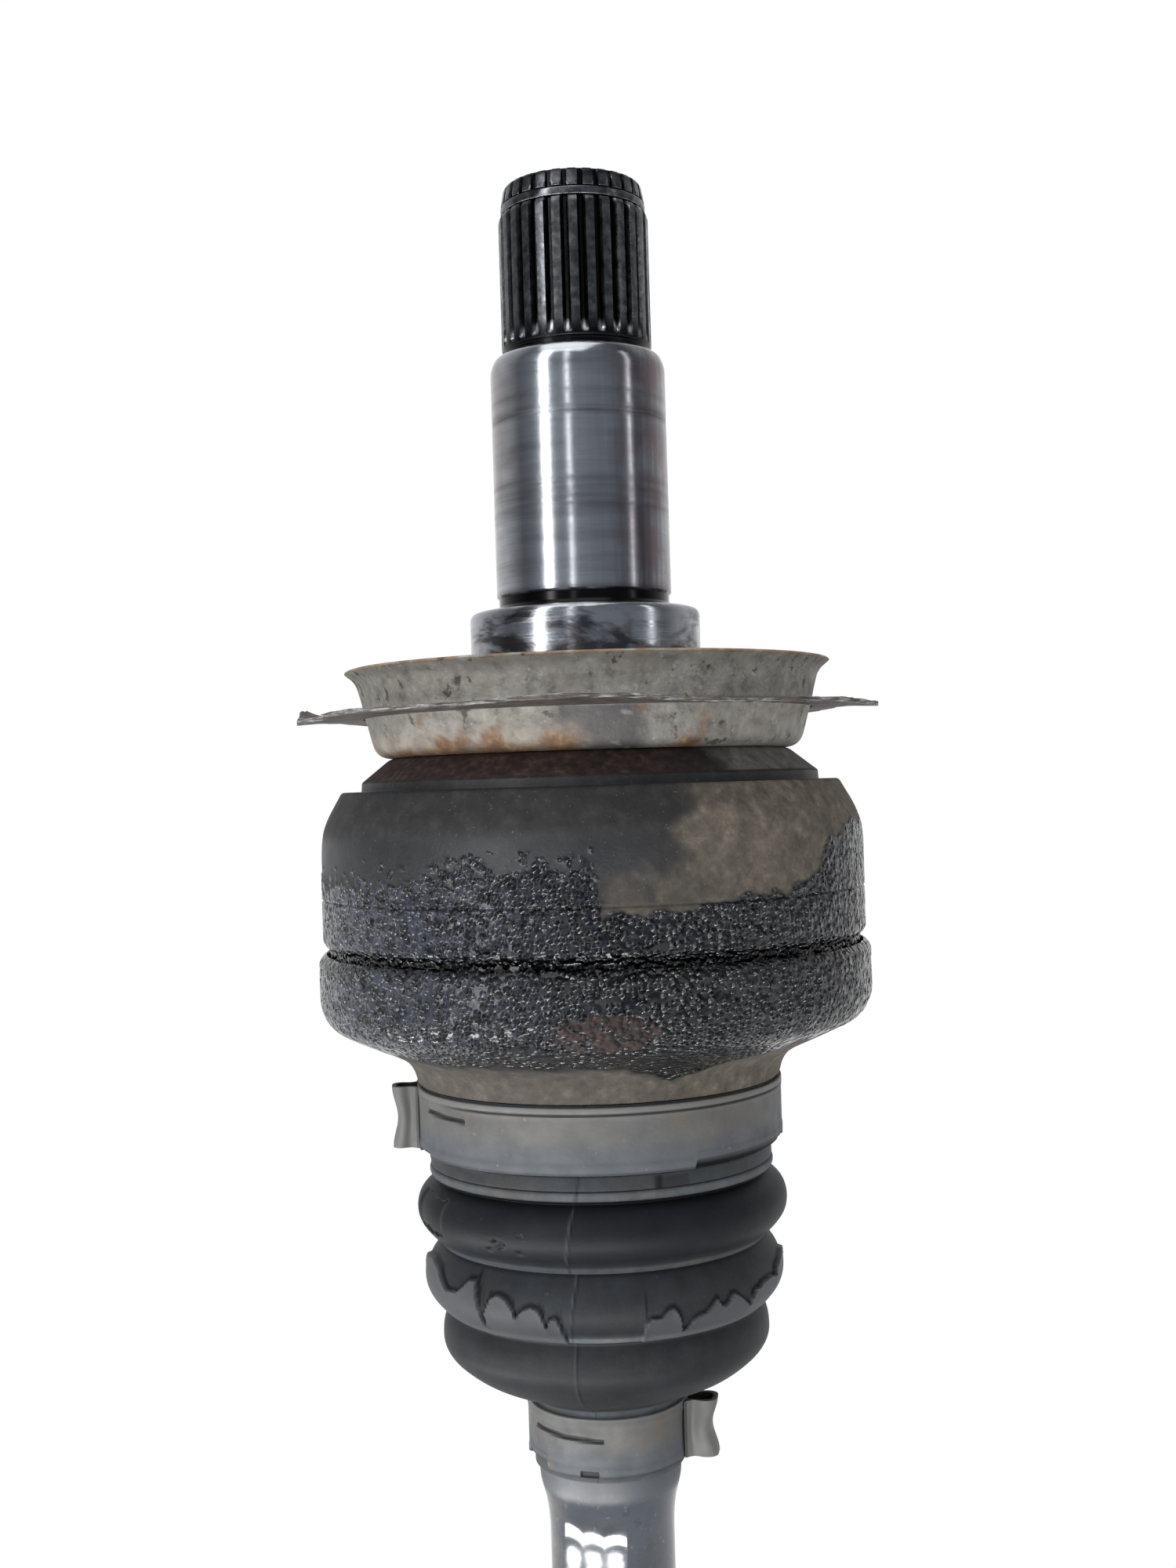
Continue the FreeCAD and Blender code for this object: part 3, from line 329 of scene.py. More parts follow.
def profile(corners, spacing, closed=False):
    """A chain of (radius, height, round) corners as two arrays.

    A round is a parabola tangent to both of its sides.
    """
    points = np.array([corner[:2] for corner in corners], float)
    rounds = [corner[2] if len(corner) > 2 else 0 for corner in corners]
    count = len(points)
    chain = []
    for index in range(count):
        here = points[index]
        before = points[index - 1] if index or closed else None
        after = points[(index + 1) % count] if index < count - 1 or closed else None
        if rounds[index] and before is not None and after is not None:
            back = before - here
            ahead = after - here
            reach_back = min(rounds[index], np.linalg.norm(back) * 0.49)
            reach_ahead = min(rounds[index], np.linalg.norm(ahead) * 0.49)
            start = here + back / np.linalg.norm(back) * reach_back
            stop = here + ahead / np.linalg.norm(ahead) * reach_ahead
            steps = np.linspace(0, 1, 9)[:, None]
            arc = (1 - steps) ** 2 * start + 2 * steps * (1 - steps) * here + steps ** 2 * stop
            chain.extend(arc)
        else:
            chain.append(here)
    if closed:
        chain.append(chain[0])
    chain = np.array(chain)
    gaps = np.linalg.norm(np.diff(chain, axis=0), axis=1)
    pieces = []
    for index, gap in enumerate(gaps):
        inner = max(1, int(math.ceil(gap / spacing)))
        share = np.arange(inner)[:, None] / inner
        pieces.append(chain[index] + (chain[index + 1] - chain[index]) * share)
    if not closed:
        pieces.append(chain[-1:])
    line = np.concatenate(pieces)
    return line[:, 0], line[:, 1]


def joined(*lines):
    """Lines of radii and heights, one after the other."""
    return np.concatenate([line[0] for line in lines]), np.concatenate([line[1] for line in lines])


def mesh_object(name, vertices, faces, values=None, sharp=32):
    """A smooth mesh in metres with point attributes; faces are turned if its volume is negative."""
    vertices = np.asarray(vertices, float) * MM
    faces = [np.asarray(group, int) for group in faces if len(group)]
    volume = 0
    for group in faces:
        a = vertices[group[:, 0]]
        for k in range(1, group.shape[1] - 1):
            volume += np.einsum("ij,ij->", a, np.cross(vertices[group[:, k]], vertices[group[:, k + 1]]))
    if volume < 0:
        faces = [group[:, ::-1] for group in faces]
    mesh = bpy.data.meshes.new(name)
    sizes = np.concatenate([np.full(len(group), group.shape[1]) for group in faces])
    corners = np.concatenate([group.ravel() for group in faces])
    mesh.vertices.add(len(vertices))
    mesh.vertices.foreach_set("co", vertices.ravel())
    mesh.loops.add(len(corners))
    mesh.loops.foreach_set("vertex_index", corners)
    mesh.polygons.add(len(sizes))
    mesh.polygons.foreach_set("loop_start", np.concatenate([[0], np.cumsum(sizes)[:-1]]))
    mesh.polygons.foreach_set("use_smooth", np.ones(len(sizes), bool))
    mesh.update(calc_edges=True)
    mesh.validate()
    for word, numbers in (values or {}).items():
        attribute = mesh.attributes.new(word, "FLOAT", "POINT")
        attribute.data.foreach_set("value", np.asarray(numbers, np.float32).ravel())
    mesh.set_sharp_from_angle(angle=math.radians(sharp))
    item = bpy.data.objects.new(name, mesh)
    bpy.context.scene.collection.objects.link(item)
    return item


def turned(name, line, columns, shape=None, closed=False, span=TURN, start=0.0, sharp=32, crowd=0.0):
    """A profile carried round Z: x is r cos a, y is r sin a.

    Shape may move r, a and z and gives the mesh's attributes. Crowd sets the columns closer at the
    front: each angle is less by crowd times its cosine.
    """
    r, z = line
    whole = abs(span - TURN) < 1e-9
    angle = start + np.linspace(0, span, columns, endpoint=not whole)
    angle = angle - crowd * np.cos(angle)
    radius, turn = np.meshgrid(r, angle, indexing="ij")
    height = np.repeat(z[:, None], columns, axis=1)
    values = {}
    if shape is not None:
        radius, turn, height, values = shape(radius, turn, height)
    vertices = np.stack([radius * np.cos(turn), radius * np.sin(turn), height], -1).reshape(-1, 3)
    rows = len(r)
    index = np.arange(rows * columns).reshape(rows, columns)
    upper = np.arange(rows) if closed else np.arange(rows - 1)
    across = np.arange(columns) if whole else np.arange(columns - 1)
    a = index[upper][:, across]
    b = index[(upper + 1) % rows][:, across]
    c = index[(upper + 1) % rows][:, (across + 1) % columns]
    d = index[upper][:, (across + 1) % columns]
    quads = np.stack([a, b, c, d], -1).reshape(-1, 4)
    faces = [quads]
    if not closed:
        quads = quads.reshape(rows - 1, len(across), 4)
        faces = [quads[1:-1].reshape(-1, 4)]
        vertices[index[0]] = [0, 0, float(z[0])]
        vertices[index[-1]] = [0, 0, float(z[-1])]
        faces.append(np.stack([np.full(len(across), index[0, 0]), b[0], c[0]], -1))
        faces.append(np.stack([a[-1], np.full(len(across), index[-1, 0]), d[-1]], -1))
    elif not whole:
        faces.extend([index[:, 0][None, :], index[::-1, -1][None, :]])
    item = mesh_object(name, vertices, faces, {k: n.reshape(-1) for k, n in values.items()}, sharp)
    if not closed:
        drop_loose(item)
    return item


def drop_loose(item):
    """Remove the points that no face uses."""
    work = bmesh.new()
    work.from_mesh(item.data)
    loose = [vertex for vertex in work.verts if not vertex.link_faces]
    bmesh.ops.delete(work, geom=loose, context="VERTS")
    work.to_mesh(item.data)
    work.free()


def tooth_height(turn, teeth):
    """1 on a tooth's top and 0 in its root, with straight flanks, as a function of the angle."""
    place = np.abs((turn * teeth / TURN) % 1 - 0.5)
    return np.clip((place - 0.10) / 0.15, 0, 1)


def front_angle(turn):
    """Degrees from the front, positive to the right, between -180 and 180."""
    return (np.degrees(turn - FRONT) + 180) % 360 - 180


def by_angle(angle, pairs):
    """Straight lines between pairs of degrees and value."""
    degrees, values = np.array(pairs).T
    return np.interp(angle, degrees, values)


def band(value, middle, half, soft):
    """1 within half of the middle, easing to 0 over soft on each side."""
    return smooth((half + soft - np.abs(value - middle)) / soft)


# Materials


def opaque(tone):
    """A colour with its alpha; a plain number is a grey."""
    return (*tone, 1) if isinstance(tone, tuple) else (tone, tone, tone, 1)


class Tree:
    """The nodes of a material or a world, with short names for those used here."""

    def __init__(self, owner):
        owner.use_nodes = True
        self.owner = owner
        self.nodes = owner.node_tree.nodes
        self.links = owner.node_tree.links
        self.sources = self.add("TexCoord").outputs
        self.place = self.sources["Object"]

    def put(self, socket, value):
        """Link an output to a socket, or set the socket's own value."""
        if isinstance(value, bpy.types.NodeSocket):
            self.links.new(value, socket)
        elif socket.type == "RGBA":
            socket.default_value = opaque(value)
        else:
            socket.default_value = value

    def fill(self, node, **values):
        """Set a node's sockets; an underscore stands for a space."""
        for word, value in values.items():
            self.put(node.inputs[word.replace("_", " ")], value)
        return node

    def add(self, kind, **values):
        """A new node with its sockets set."""
        return self.fill(self.nodes.new("ShaderNode" + kind), **values)

    def stretch(self, x, y, z):
        """Object coordinates scaled along each axis."""
        return self.add("Mapping", Vector=self.place, Scale=(x, y, z)).outputs["Vector"]

    def noise(self, scale, detail=4.0, rough=0.55, vector=None, warp=0.0):
        """Cloud noise, scale in cells per metre."""
        node = self.add("TexNoise", Vector=vector or self.place, Scale=scale, Detail=detail)
        return self.fill(node, Roughness=rough, Distortion=warp).outputs["Fac"]

    def cells(self, scale):
        """Cell pattern, scale in cells per metre."""
        return self.add("TexVoronoi", Vector=self.place, Scale=scale).outputs["Distance"]

    def ramp(self, value, *stops):
        """Colour ramp from (place, colour) stops."""
        node = self.add("ValToRGB", Fac=value)
        points = node.color_ramp.elements
        while len(points) < len(stops):
            points.new(0.5)
        for point, (place, tone) in zip(points, stops):
            point.position = place
            point.color = opaque(tone)
        return node.outputs["Color"]

    def clouds(self, scale, detail, *stops):
        """Cloud noise through a ramp."""
        return self.ramp(self.noise(scale, detail), *stops)

    def mix(self, share, a, b):
        """Mix two colours."""
        node = self.nodes.new("ShaderNodeMix")
        node.data_type = "RGBA"
        self.put(node.inputs["Factor"], share)
        self.put(node.inputs[6], a)
        self.put(node.inputs[7], b)
        return node.outputs[2]

    def combine(self, kind, a, b):
        """One arithmetic step, clamped to 0 to 1."""
        node = self.nodes.new("ShaderNodeMath")
        node.operation = kind
        node.use_clamp = True
        self.put(node.inputs[0], a)
        self.put(node.inputs[1], b)
        return node.outputs["Value"]

    def times(self, a, b):
        """Product of two values."""
        return self.combine("MULTIPLY", a, b)

    def axes(self, source="Object"):
        """Coordinates one by one, as the outputs X, Y and Z."""
        return self.add("SeparateXYZ", Vector=self.sources[source]).outputs

    def between(self, value, first, last):
        """0 at first and 1 at last, straight between."""
        return self.add("MapRange", Value=value, From_Min=first, From_Max=last).outputs["Result"]

    def painted(self, word):
        """An attribute of the mesh."""
        node = self.nodes.new("ShaderNodeAttribute")
        node.attribute_name = word
        return node.outputs["Fac"]

    def bump(self, height, distance, strength=1.0, normal=None):
        """Bump from a height between 0 and 1, distance in metres."""
        node = self.add("Bump", Height=height, Distance=distance, Strength=strength)
        if normal is not None:
            self.links.new(normal, node.inputs["Normal"])
        return node.outputs["Normal"]


class Finish(Tree):
    """A material and its shader."""

    def __init__(self, name):
        super().__init__(bpy.data.materials.new(name))
        self.material = self.owner
        self.shader = self.nodes["Principled BSDF"]

    def set(self, **values):
        """Set the shader's sockets."""
        self.fill(self.shader, **values)


def shade(word, by=1.0):
    """One of the colours as a tuple, made lighter or darker."""
    return tuple(min(1.0, channel * by) for channel in getattr(look().colours, word))


def spline_steel():
    """Greasy splines: black in the roots, worn grey on the tooth tops, bare where the cutter ran out,
    lightened there as a painted highlight.
    """
    f = Finish("greasy_spline_steel")
    worn = f.times(f.painted("crest"), f.clouds(700, 4, (0.35, 0.35), (0.7, 1.0)))
    tone = f.mix(worn, shade("grease"), shade("steel", 0.30))
    # Run-outs: bare steel, made lighter as a painted highlight
    tone = f.mix(f.painted("run_out"), tone, shade("steel", 0.8))
    wet = f.clouds(420, 4, (0.35, 0.20), (0.7, 0.40))
    f.set(Base_Color=tone, Metallic=1.0, Roughness=wet)
    f.set(Normal=f.bump(f.noise(1300, 3), 0.00008, 0.3))
    return f.material


def journal_steel():
    """Ground journal: fine rings, darker seal bands, a brown and violet tint on the right, and painted shade
    that darkens the right side in upright streaks.
    """
    f = Finish("ground_journal_steel")
    axes = f.axes()
    rings = f.noise(1.0, 6, 0.75, f.stretch(9, 9, 4200))
    smear = f.noise(1.0, 4, 0.6, f.stretch(26, 26, 260))
    upright = f.noise(1.0, 4, 0.6, f.stretch(420, 420, 16))
    tone = f.mix(f.ramp(smear, (0.44, 0.0), (0.72, 0.7)), shade("steel"), shade("steel", 0.5))
    tone = f.mix(f.ramp(rings, (0.52, 0.0), (0.72, 0.55)), tone, shade("steel", 0.45))
    # Painted shade: the right side darker, broken into upright streaks
    dull_and_shaded = f.times(f.ramp(upright, (0.36, 0.35), (0.6, 1.0)), f.between(axes["X"], -0.001, 0.012))
    tone = f.mix(f.times(dull_and_shaded, 0.75), tone, shade("steel", 0.22))
    tint = f.times(f.clouds(140, 4, (0.36, 0.0), (0.62, 0.8)), f.between(axes["X"], 0.003, 0.014))
    tone = f.mix(tint, tone, (0.21, 0.155, 0.17))
    left = f.between(axes["X"], -0.008, -0.0165)
    brown = f.times(f.clouds(90, 3, (0.42, 0.0), (0.62, 0.55)), left)
    tone = f.mix(brown, tone, (0.26, 0.21, 0.18))
    seal = f.painted("seal")
    worn = f.times(seal, f.ramp(f.noise(1.0, 4, 0.6, f.stretch(40, 40, 900)), (0.34, 0.35), (0.6, 1.0)))
    tone = f.mix(worn, tone, (0.07, 0.068, 0.075))
    tone = f.mix(f.painted("relief"), tone, (0.018, 0.017, 0.017))
    f.set(Base_Color=tone, Metallic=1.0)
    f.set(Roughness=f.combine("ADD", f.ramp(rings, (0.3, 0.12), (0.75, 0.24)), f.times(seal, 0.10)))
    f.set(Normal=f.bump(rings, 0.00002, 0.3))
    return f.material


def collar_steel():
    """Collar: polished, with dark oily stains."""
    f = Finish("stained_collar_steel")
    axes = f.axes()
    stain = f.ramp(f.noise(1.0, 5, 0.6, f.stretch(60, 60, 150), 0.5), (0.46, 0.0), (0.56, 0.9))
    edge = f.between(axes["Z"], -0.0093, -0.0112)
    tone = f.mix(f.combine("MAXIMUM", stain, edge), shade("steel", 0.8), (0.055, 0.052, 0.055))
    tone = f.mix(f.clouds(260, 4, (0.55, 0.0), (0.75, 0.5)), tone, (0.14, 0.09, 0.07))
    f.set(Base_Color=tone, Metallic=1.0)
    f.set(Roughness=f.ramp(f.noise(1.0, 4, 0.6, f.stretch(20, 20, 2500)), (0.3, 0.14), (0.7, 0.28)))
    return f.material


def ring_steel():
    """Bright spring wire."""
    f = Finish("bright_spring_wire")
    dark = f.clouds(300, 3, (0.40, 0.0), (0.6, 0.85))
    f.set(Base_Color=f.mix(dark, (0.16, 0.165, 0.18), (0.03, 0.03, 0.032)))
    f.set(Metallic=1.0, Roughness=f.clouds(800, 2, (0.3, 0.16), (0.7, 0.34)))
    return f.material


def zinc_sheet():
    """Galvanised cup: mottled grey, white bloom, rust at the rim and below the disc."""
    f = Finish("galvanised_cup")
    mottle = f.ramp(f.noise(360, 6, 0.66), (0.30, shade("zinc", 0.42)), (0.47, shade("zinc", 0.85)),
                    (0.58, shade("zinc")), (0.74, (0.56, 0.55, 0.52)))
    cloud = f.clouds(70, 4, (0.42, 0.0), (0.60, 0.7))
    tone = f.mix(cloud, mottle, f.mix(0.5, mottle, (0.24, 0.225, 0.20)))
    bloom = f.ramp(f.noise(480, 5, 0.7), (0.60, 0.0), (0.68, 0.8))
    tone = f.mix(bloom, tone, (0.55, 0.55, 0.53))
    spots = f.ramp(f.noise(300, 5, 0.6), (0.60, 0.0), (0.66, 0.9))
    tone = f.mix(spots, tone, (0.075, 0.062, 0.055))
    bare = f.clouds(300, 5, (0.35, (0.052, 0.05, 0.062)), (0.7, (0.13, 0.125, 0.135)))
    tone = f.mix(f.painted("bare"), tone, bare)
    patch = f.times(f.painted("rust"), f.ramp(f.noise(210, 6, 0.65), (0.30, 0.45), (0.55, 1.0)))
    rusty = f.clouds(420, 5, (0.32, (0.13, 0.075, 0.04)), (0.5, (0.26, 0.145, 0.065)),
                     (0.68, (0.44, 0.32, 0.20)))
    tan = f.clouds(260, 5, (0.35, (0.30, 0.255, 0.20)), (0.65, (0.56, 0.51, 0.43)))
    tone = f.mix(f.times(f.painted("tan"), 0.75), tone, tan)
    tone = f.mix(patch, tone, rusty)
    f.set(Base_Color=tone, Metallic=0.15, Roughness=f.clouds(300, 4, (0.3, 0.5), (0.7, 0.8)))
    f.set(Normal=f.bump(f.noise(900, 5, 0.6), 0.0003, 0.8))
    return f.material


def disc_sheet():
    """Thin disc: dark dirty face, flaking silver edge."""
    f = Finish("flaking_disc_sheet")
    flake = f.ramp(f.noise(1.0, 5, 0.7, f.stretch(170, 170, 2600)), (0.45, 0.0), (0.56, 1.0))
    dirt = f.clouds(260, 5, (0.35, (0.05, 0.042, 0.038)), (0.65, (0.15, 0.125, 0.105)))
    pale = f.clouds(700, 4, (0.3, (0.24, 0.235, 0.24)), (0.7, (0.52, 0.51, 0.51)))
    f.set(Base_Color=f.mix(f.times(flake, f.painted("rim")), dirt, pale))
    f.set(Metallic=0.2, Roughness=0.62)
    f.set(Normal=f.bump(f.combine("ADD", f.times(flake, 0.6), f.times(f.noise(1200, 4), 0.5)),
                        0.0003, 0.9))
    return f.material


def drum_coat():
    """Black forging: satin above with a bluish oil film that is partly a painted sheen, tan road dust on the
    right, wet oily grit below with a painted sheen on its left, and painted shadow in the crease at the
    can's edge.
    """
    f = Finish("oily_black_drum")
    base = f.ramp(f.noise(300, 6, 0.6), (0.32, shade("coat", 0.5)), (0.52, shade("coat")),
                  (0.74, shade("coat", 2.2)))
    speck = f.clouds(1500, 2, (0.69, 0.0), (0.73, 0.7))
    base = f.mix(speck, base, (0.13, 0.12, 0.10))
    # Oil film: lifted bluish, partly a painted sheen
    tone = f.mix(f.times(f.painted("film"), 0.6), base, (0.020, 0.022, 0.029))
    dust = f.times(f.painted("dust"), f.ramp(f.noise(190, 6, 0.68), (0.28, 0.45), (0.58, 1.0)))
    sandy = f.ramp(f.noise(420, 6, 0.72), (0.30, shade("dust", 0.45)), (0.47, shade("dust", 0.75)),
                   (0.58, shade("dust")), (0.74, shade("dust", 1.7)))
    tone = f.mix(dust, tone, sandy)
    grit = f.painted("grit")
    oily = f.clouds(600, 4, (0.35, (0.002, 0.002, 0.003)), (0.7, (0.014, 0.016, 0.023)))
    left = f.between(f.axes()["X"], 0.002, -0.045)
    sheen = f.times(left, f.clouds(420, 4, (0.42, 0.0), (0.62, 0.85)))
    oily = f.mix(sheen, oily, (0.075, 0.085, 0.115))
    tone = f.mix(grit, tone, oily)
    crust = f.clouds(600, 5, (0.35, shade("old_rust", 0.5)), (0.55, (0.045, 0.024, 0.021)),
                     (0.75, (0.09, 0.055, 0.046)))
    tone = f.mix(f.times(f.painted("red"), f.clouds(300, 5, (0.3, 0.6), (0.55, 1.0))), tone, crust)
    zincy = f.ramp(f.noise(420, 6, 0.65), (0.3, (0.085, 0.083, 0.078)), (0.7, (0.24, 0.235, 0.215)))
    tone = f.mix(f.painted("grey"), tone, zincy)
    # Painted shadow, near black, in the crease at the can's edge and below it
    tone = f.mix(f.painted("seam"), tone, (0.0015, 0.0015, 0.002))
    f.set(Base_Color=tone)
    dry = f.mix(f.painted("film"), f.clouds(220, 4, (0.3, 0.62), (0.7, 0.85)), 0.38)
    wet = f.clouds(500, 3, (0.35, 0.05), (0.7, 0.16))
    rough = f.mix(grit, dry, wet)
    dull_and_shaded = f.combine("MAXIMUM", dust, f.combine("MAXIMUM", f.painted("red"), f.painted("grey")))
    f.set(Roughness=f.mix(dull_and_shaded, rough, 0.85))
    f.set(Specular_IOR_Level=0.5)
    fine = f.bump(f.noise(1500, 4, 0.6), 0.0002, 0.4)
    grains = f.times(f.combine("SUBTRACT", 1.0, f.times(f.cells(820), 1.5)), grit)
    f.set(Normal=f.bump(grains, 0.0009, 1.0, fine))
    return f.material


def boot_rubber():
    """Blue-black rubber: dusty on the edges and cuffs, matte, with painted shade near black at the torn
    edge, in pockets and grooves and under the lip.
    """
    f = Finish("dusty_boot_rubber")
    base = f.clouds(130, 5, (0.3, shade("rubber", 0.75)), (0.6, shade("rubber")),
                    (0.8, shade("rubber", 1.5)))
    dust = f.times(f.painted("dust"), f.ramp(f.noise(260, 6, 0.65), (0.25, 0.6), (0.65, 1.0)))
    warm = f.clouds(60, 3, (0.42, shade("rubber_dust")), (0.6, (0.29, 0.285, 0.27)))
    tone = f.mix(dust, base, warm)
    speck = f.clouds(900, 3, (0.70, 0.0), (0.76, 0.4))
    tone = f.mix(speck, tone, (0.10, 0.095, 0.09))
    tone = f.mix(f.painted("skin"), tone, (0.115, 0.122, 0.132))
    # Painted shade near black, with darker worn spots and pits
    tone = f.mix(f.painted("torn"), tone, (0.003, 0.003, 0.004))
    f.set(Base_Color=tone, Roughness=f.mix(dust, 0.52, 0.85))
    f.set(Specular_IOR_Level=0.16)
    f.set(Normal=f.bump(f.noise(1300, 4, 0.6), 0.00012, 0.45))
    return f.material


def clamp_steel():
    """Clamp band: dull grey steel, tan dust above and bluish below, with a pale top edge that is worn and
    partly a painted highlight, and painted shade in the slots, along the low edge and in the ear.
    """
    f = Finish("dusty_clamp_band")
    base = f.clouds(170, 5, (0.3, shade("clamp", 0.7)), (0.55, shade("clamp")),
                    (0.8, shade("clamp", 1.3)))
    sandy = f.combine("SUBTRACT", f.clouds(140, 5, (0.36, 0.25), (0.66, 0.65)), f.painted("under"))
    tone = f.mix(sandy, base, (0.185, 0.175, 0.155))
    tone = f.mix(f.times(f.painted("under"), 0.6), tone, (0.095, 0.108, 0.128))
    stain = f.clouds(110, 4, (0.60, 0.0), (0.68, 0.6))
    tone = f.mix(stain, tone, (0.17, 0.145, 0.115))
    tone = f.mix(f.clouds(700, 3, (0.68, 0.0), (0.75, 0.6)), tone, (0.30, 0.30, 0.29))
    # Pale: the band's worn top edge, partly a painted highlight, and the ear's outer face
    tone = f.mix(f.times(f.painted("pale"), 0.8), tone, (0.21, 0.215, 0.205))
    # Painted shade near black: slots, the line under the top, the low edge, inside the ear and at its foot
    tone = f.mix(f.painted("dark"), tone, (0.010, 0.010, 0.012))
    f.set(Base_Color=tone, Metallic=0.12, Roughness=f.clouds(300, 4, (0.3, 0.55), (0.7, 0.75)))
    f.set(Normal=f.bump(f.noise(1000, 4), 0.0001, 0.5))
    return f.material


def bar_paint():
    """Glossy blue-grey paint with dark scuffs and dusty seats."""
    f = Finish("glossy_bar_paint")
    base = f.clouds(90, 5, (0.3, shade("paint", 0.45)), (0.7, shade("paint", 0.95)))
    scuff = f.ramp(f.noise(360, 6, 0.7), (0.52, 0.0), (0.64, 0.75))
    tone = f.mix(scuff, base, (0.028, 0.033, 0.044))
    pale = f.ramp(f.noise(520, 5, 0.7), (0.60, 0.0), (0.68, 0.6))
    tone = f.mix(pale, tone, (0.22, 0.24, 0.27))
    left = f.between(f.axes()["X"], -0.0085, -0.0125)
    tan = f.times(left, f.clouds(160, 4, (0.4, 0.0), (0.6, 0.7)))
    tone = f.mix(tan, tone, (0.20, 0.17, 0.13))
    dusty = f.times(f.painted("dust"), 0.85)
    tone = f.mix(dusty, tone, (0.085, 0.095, 0.107))
    f.set(Base_Color=tone, Metallic=0.0)
    f.set(Roughness=f.mix(dusty, f.clouds(150, 4, (0.3, 0.045), (0.7, 0.11)), 0.9))
    f.set(Specular_IOR_Level=0.9)
    f.set(Normal=f.bump(f.noise(240, 4), 0.0003, 0.035))
    return f.material


def forged_steel():
    """Outer housing: dark scale on the forging, brighter where it is turned."""
    f = Finish("forged_bell_steel")
    scale_tone = f.ramp(f.noise(300, 6, 0.6), (0.3, (0.022, 0.021, 0.021)), (0.6, (0.055, 0.05, 0.047)),
                        (0.8, (0.11, 0.075, 0.055)))
    bright = f.ramp(f.noise(1.0, 4, 0.6, f.stretch(30, 30, 2600)), (0.3, shade("steel", 0.5)),
                    (0.7, shade("steel")))
    tone = f.mix(f.painted("bright"), scale_tone, bright)
    f.set(Base_Color=tone, Metallic=f.painted("bright"))
    f.set(Roughness=f.mix(f.painted("bright"), 0.62, 0.26))
    f.set(Normal=f.bump(f.noise(700, 5, 0.6), 0.0002, 0.5))
    return f.material


def bearing_steel():
    """Ground races, cages and balls with a film of grease."""
    f = Finish("greased_bearing_steel")
    grease = f.clouds(160, 5, (0.45, 0.0), (0.65, 0.7))
    f.set(Base_Color=f.mix(grease, shade("steel"), (0.10, 0.085, 0.06)))
    f.set(Metallic=1.0, Roughness=f.clouds(300, 3, (0.3, 0.12), (0.7, 0.3)))
    return f.material


def seal_rubber():
    """Plain black seal."""
    f = Finish("plain_seal_rubber")
    f.set(Base_Color=f.clouds(300, 4, (0.3, 0.01), (0.7, 0.03)))
    f.set(Roughness=0.6, Normal=f.bump(f.noise(1200, 3), 0.0001, 0.4))
    return f.material


FINISHES = {
    "spline": spline_steel, "journal": journal_steel, "collar": collar_steel, "ring": ring_steel,
    "zinc": zinc_sheet, "disc": disc_sheet, "drum": drum_coat, "rubber": boot_rubber,
    "clamp": clamp_steel, "bar": bar_paint, "forged": forged_steel, "bearing": bearing_steel,
    "seal": seal_rubber,
}
MADE = {}


def finish(name):
    """A material, made once."""
    if name not in MADE:
        MADE[name] = FINISHES[name]()
    return MADE[name]


def dress(item, material, body, slot, *nodes):
    """Give a piece its material and its body, and hide the nodes it stands for; slot is not used."""
    item.data.materials.append(finish(material))
    if "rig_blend" not in item:
        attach(item, body)
    if nodes:
        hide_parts(*nodes)
    return item


# Stub


def splined(radius, depth, teeth, foot, run_out):
    """Shape for a spline: cut down to the root between the teeth; the cut rises at the foot."""

    def shape(r, turn, z):
        tooth = tooth_height(turn, teeth)
        deep = depth * np.sqrt(np.clip((z - foot) / run_out, 0, 1))
        cut = radius - deep * (1 - tooth)
        climb = (z - foot) / run_out
        crest = tooth * smooth((r - radius * 0.91) / (radius * 0.04)) * smooth(climb)
        # Bare run-outs in the roots, lightened in the finish as a painted highlight
        bare = (1 - tooth) * smooth(climb * 6) * smooth((0.62 - climb) / 0.4) * (r > radius * 0.9)
        at_end = (z > z.max() - 0.2) * smooth((r - radius * 0.6) / (radius * 0.2))
        back = 0.5 * (1 - tooth) * at_end
        return np.minimum(r, np.maximum(cut, 0)), turn, z - back, {"crest": crest, "run_out": bare}

    return shape


class HALFSHAFT_OT_splined_end(bpy.types.Operator):
    """Make the splined end of the stub with its snap ring."""

    bl_idname = "halfshaft.splined_end"
    bl_label = "Splined end"

    def execute(self, context):
        s = sizes("stub")
        top = high("inner_joint_housing")
        ring_low, ring_high = low("stub_snap_ring"), high("stub_snap_ring")
        slack = 0.15
        neck = s.journal_top - 0.6
        line = profile([
            (0, top - 1.8), (1.1, top - 1.6), (2.4, top, 0.2), (s.crown_radius - 0.5, top, 0.3),
            (s.crown_radius, top - 0.6, 0.3), (s.crown_foot, ring_high + slack, 0.25),
            (s.ring_groove, ring_high + slack), (s.ring_groove, ring_low - slack),
            (s.crown_foot, ring_low - slack, 0.2), (s.spline_radius, ring_low - slack - 0.9, 0.5),
            (s.spline_radius, s.spline_foot - 0.4, 0.3), (s.spline_radius - 0.5, s.spline_foot - 0.9, 0.3),
            (s.spline_radius - 0.5, neck), (0, neck),
        ], spacing=0.5)
        end = turned("splined_end", line, s.spline_teeth * 12,
                     splined(s.spline_radius, s.spline_depth, s.spline_teeth, s.spline_foot, 4.6))
        dress(end, "spline", "inner_housing", "forged_steel", "inner_joint_housing")
        wire = profile([
            (s.ring_groove + 0.2, ring_low, 0.3), (s.spline_radius - 0.5, ring_low, 0.45),
            (s.spline_radius - 0.5, ring_high, 0.45), (s.ring_groove + 0.2, ring_high, 0.3),
        ], spacing=0.4, closed=True)
        ring = turned("snap_ring", wire, columns=160, closed=True,
                      span=math.radians(342), start=math.radians(35))
        dress(ring, "ring", "inner_housing", "spring_steel", "stub_snap_ring")
        return {"FINISHED"}


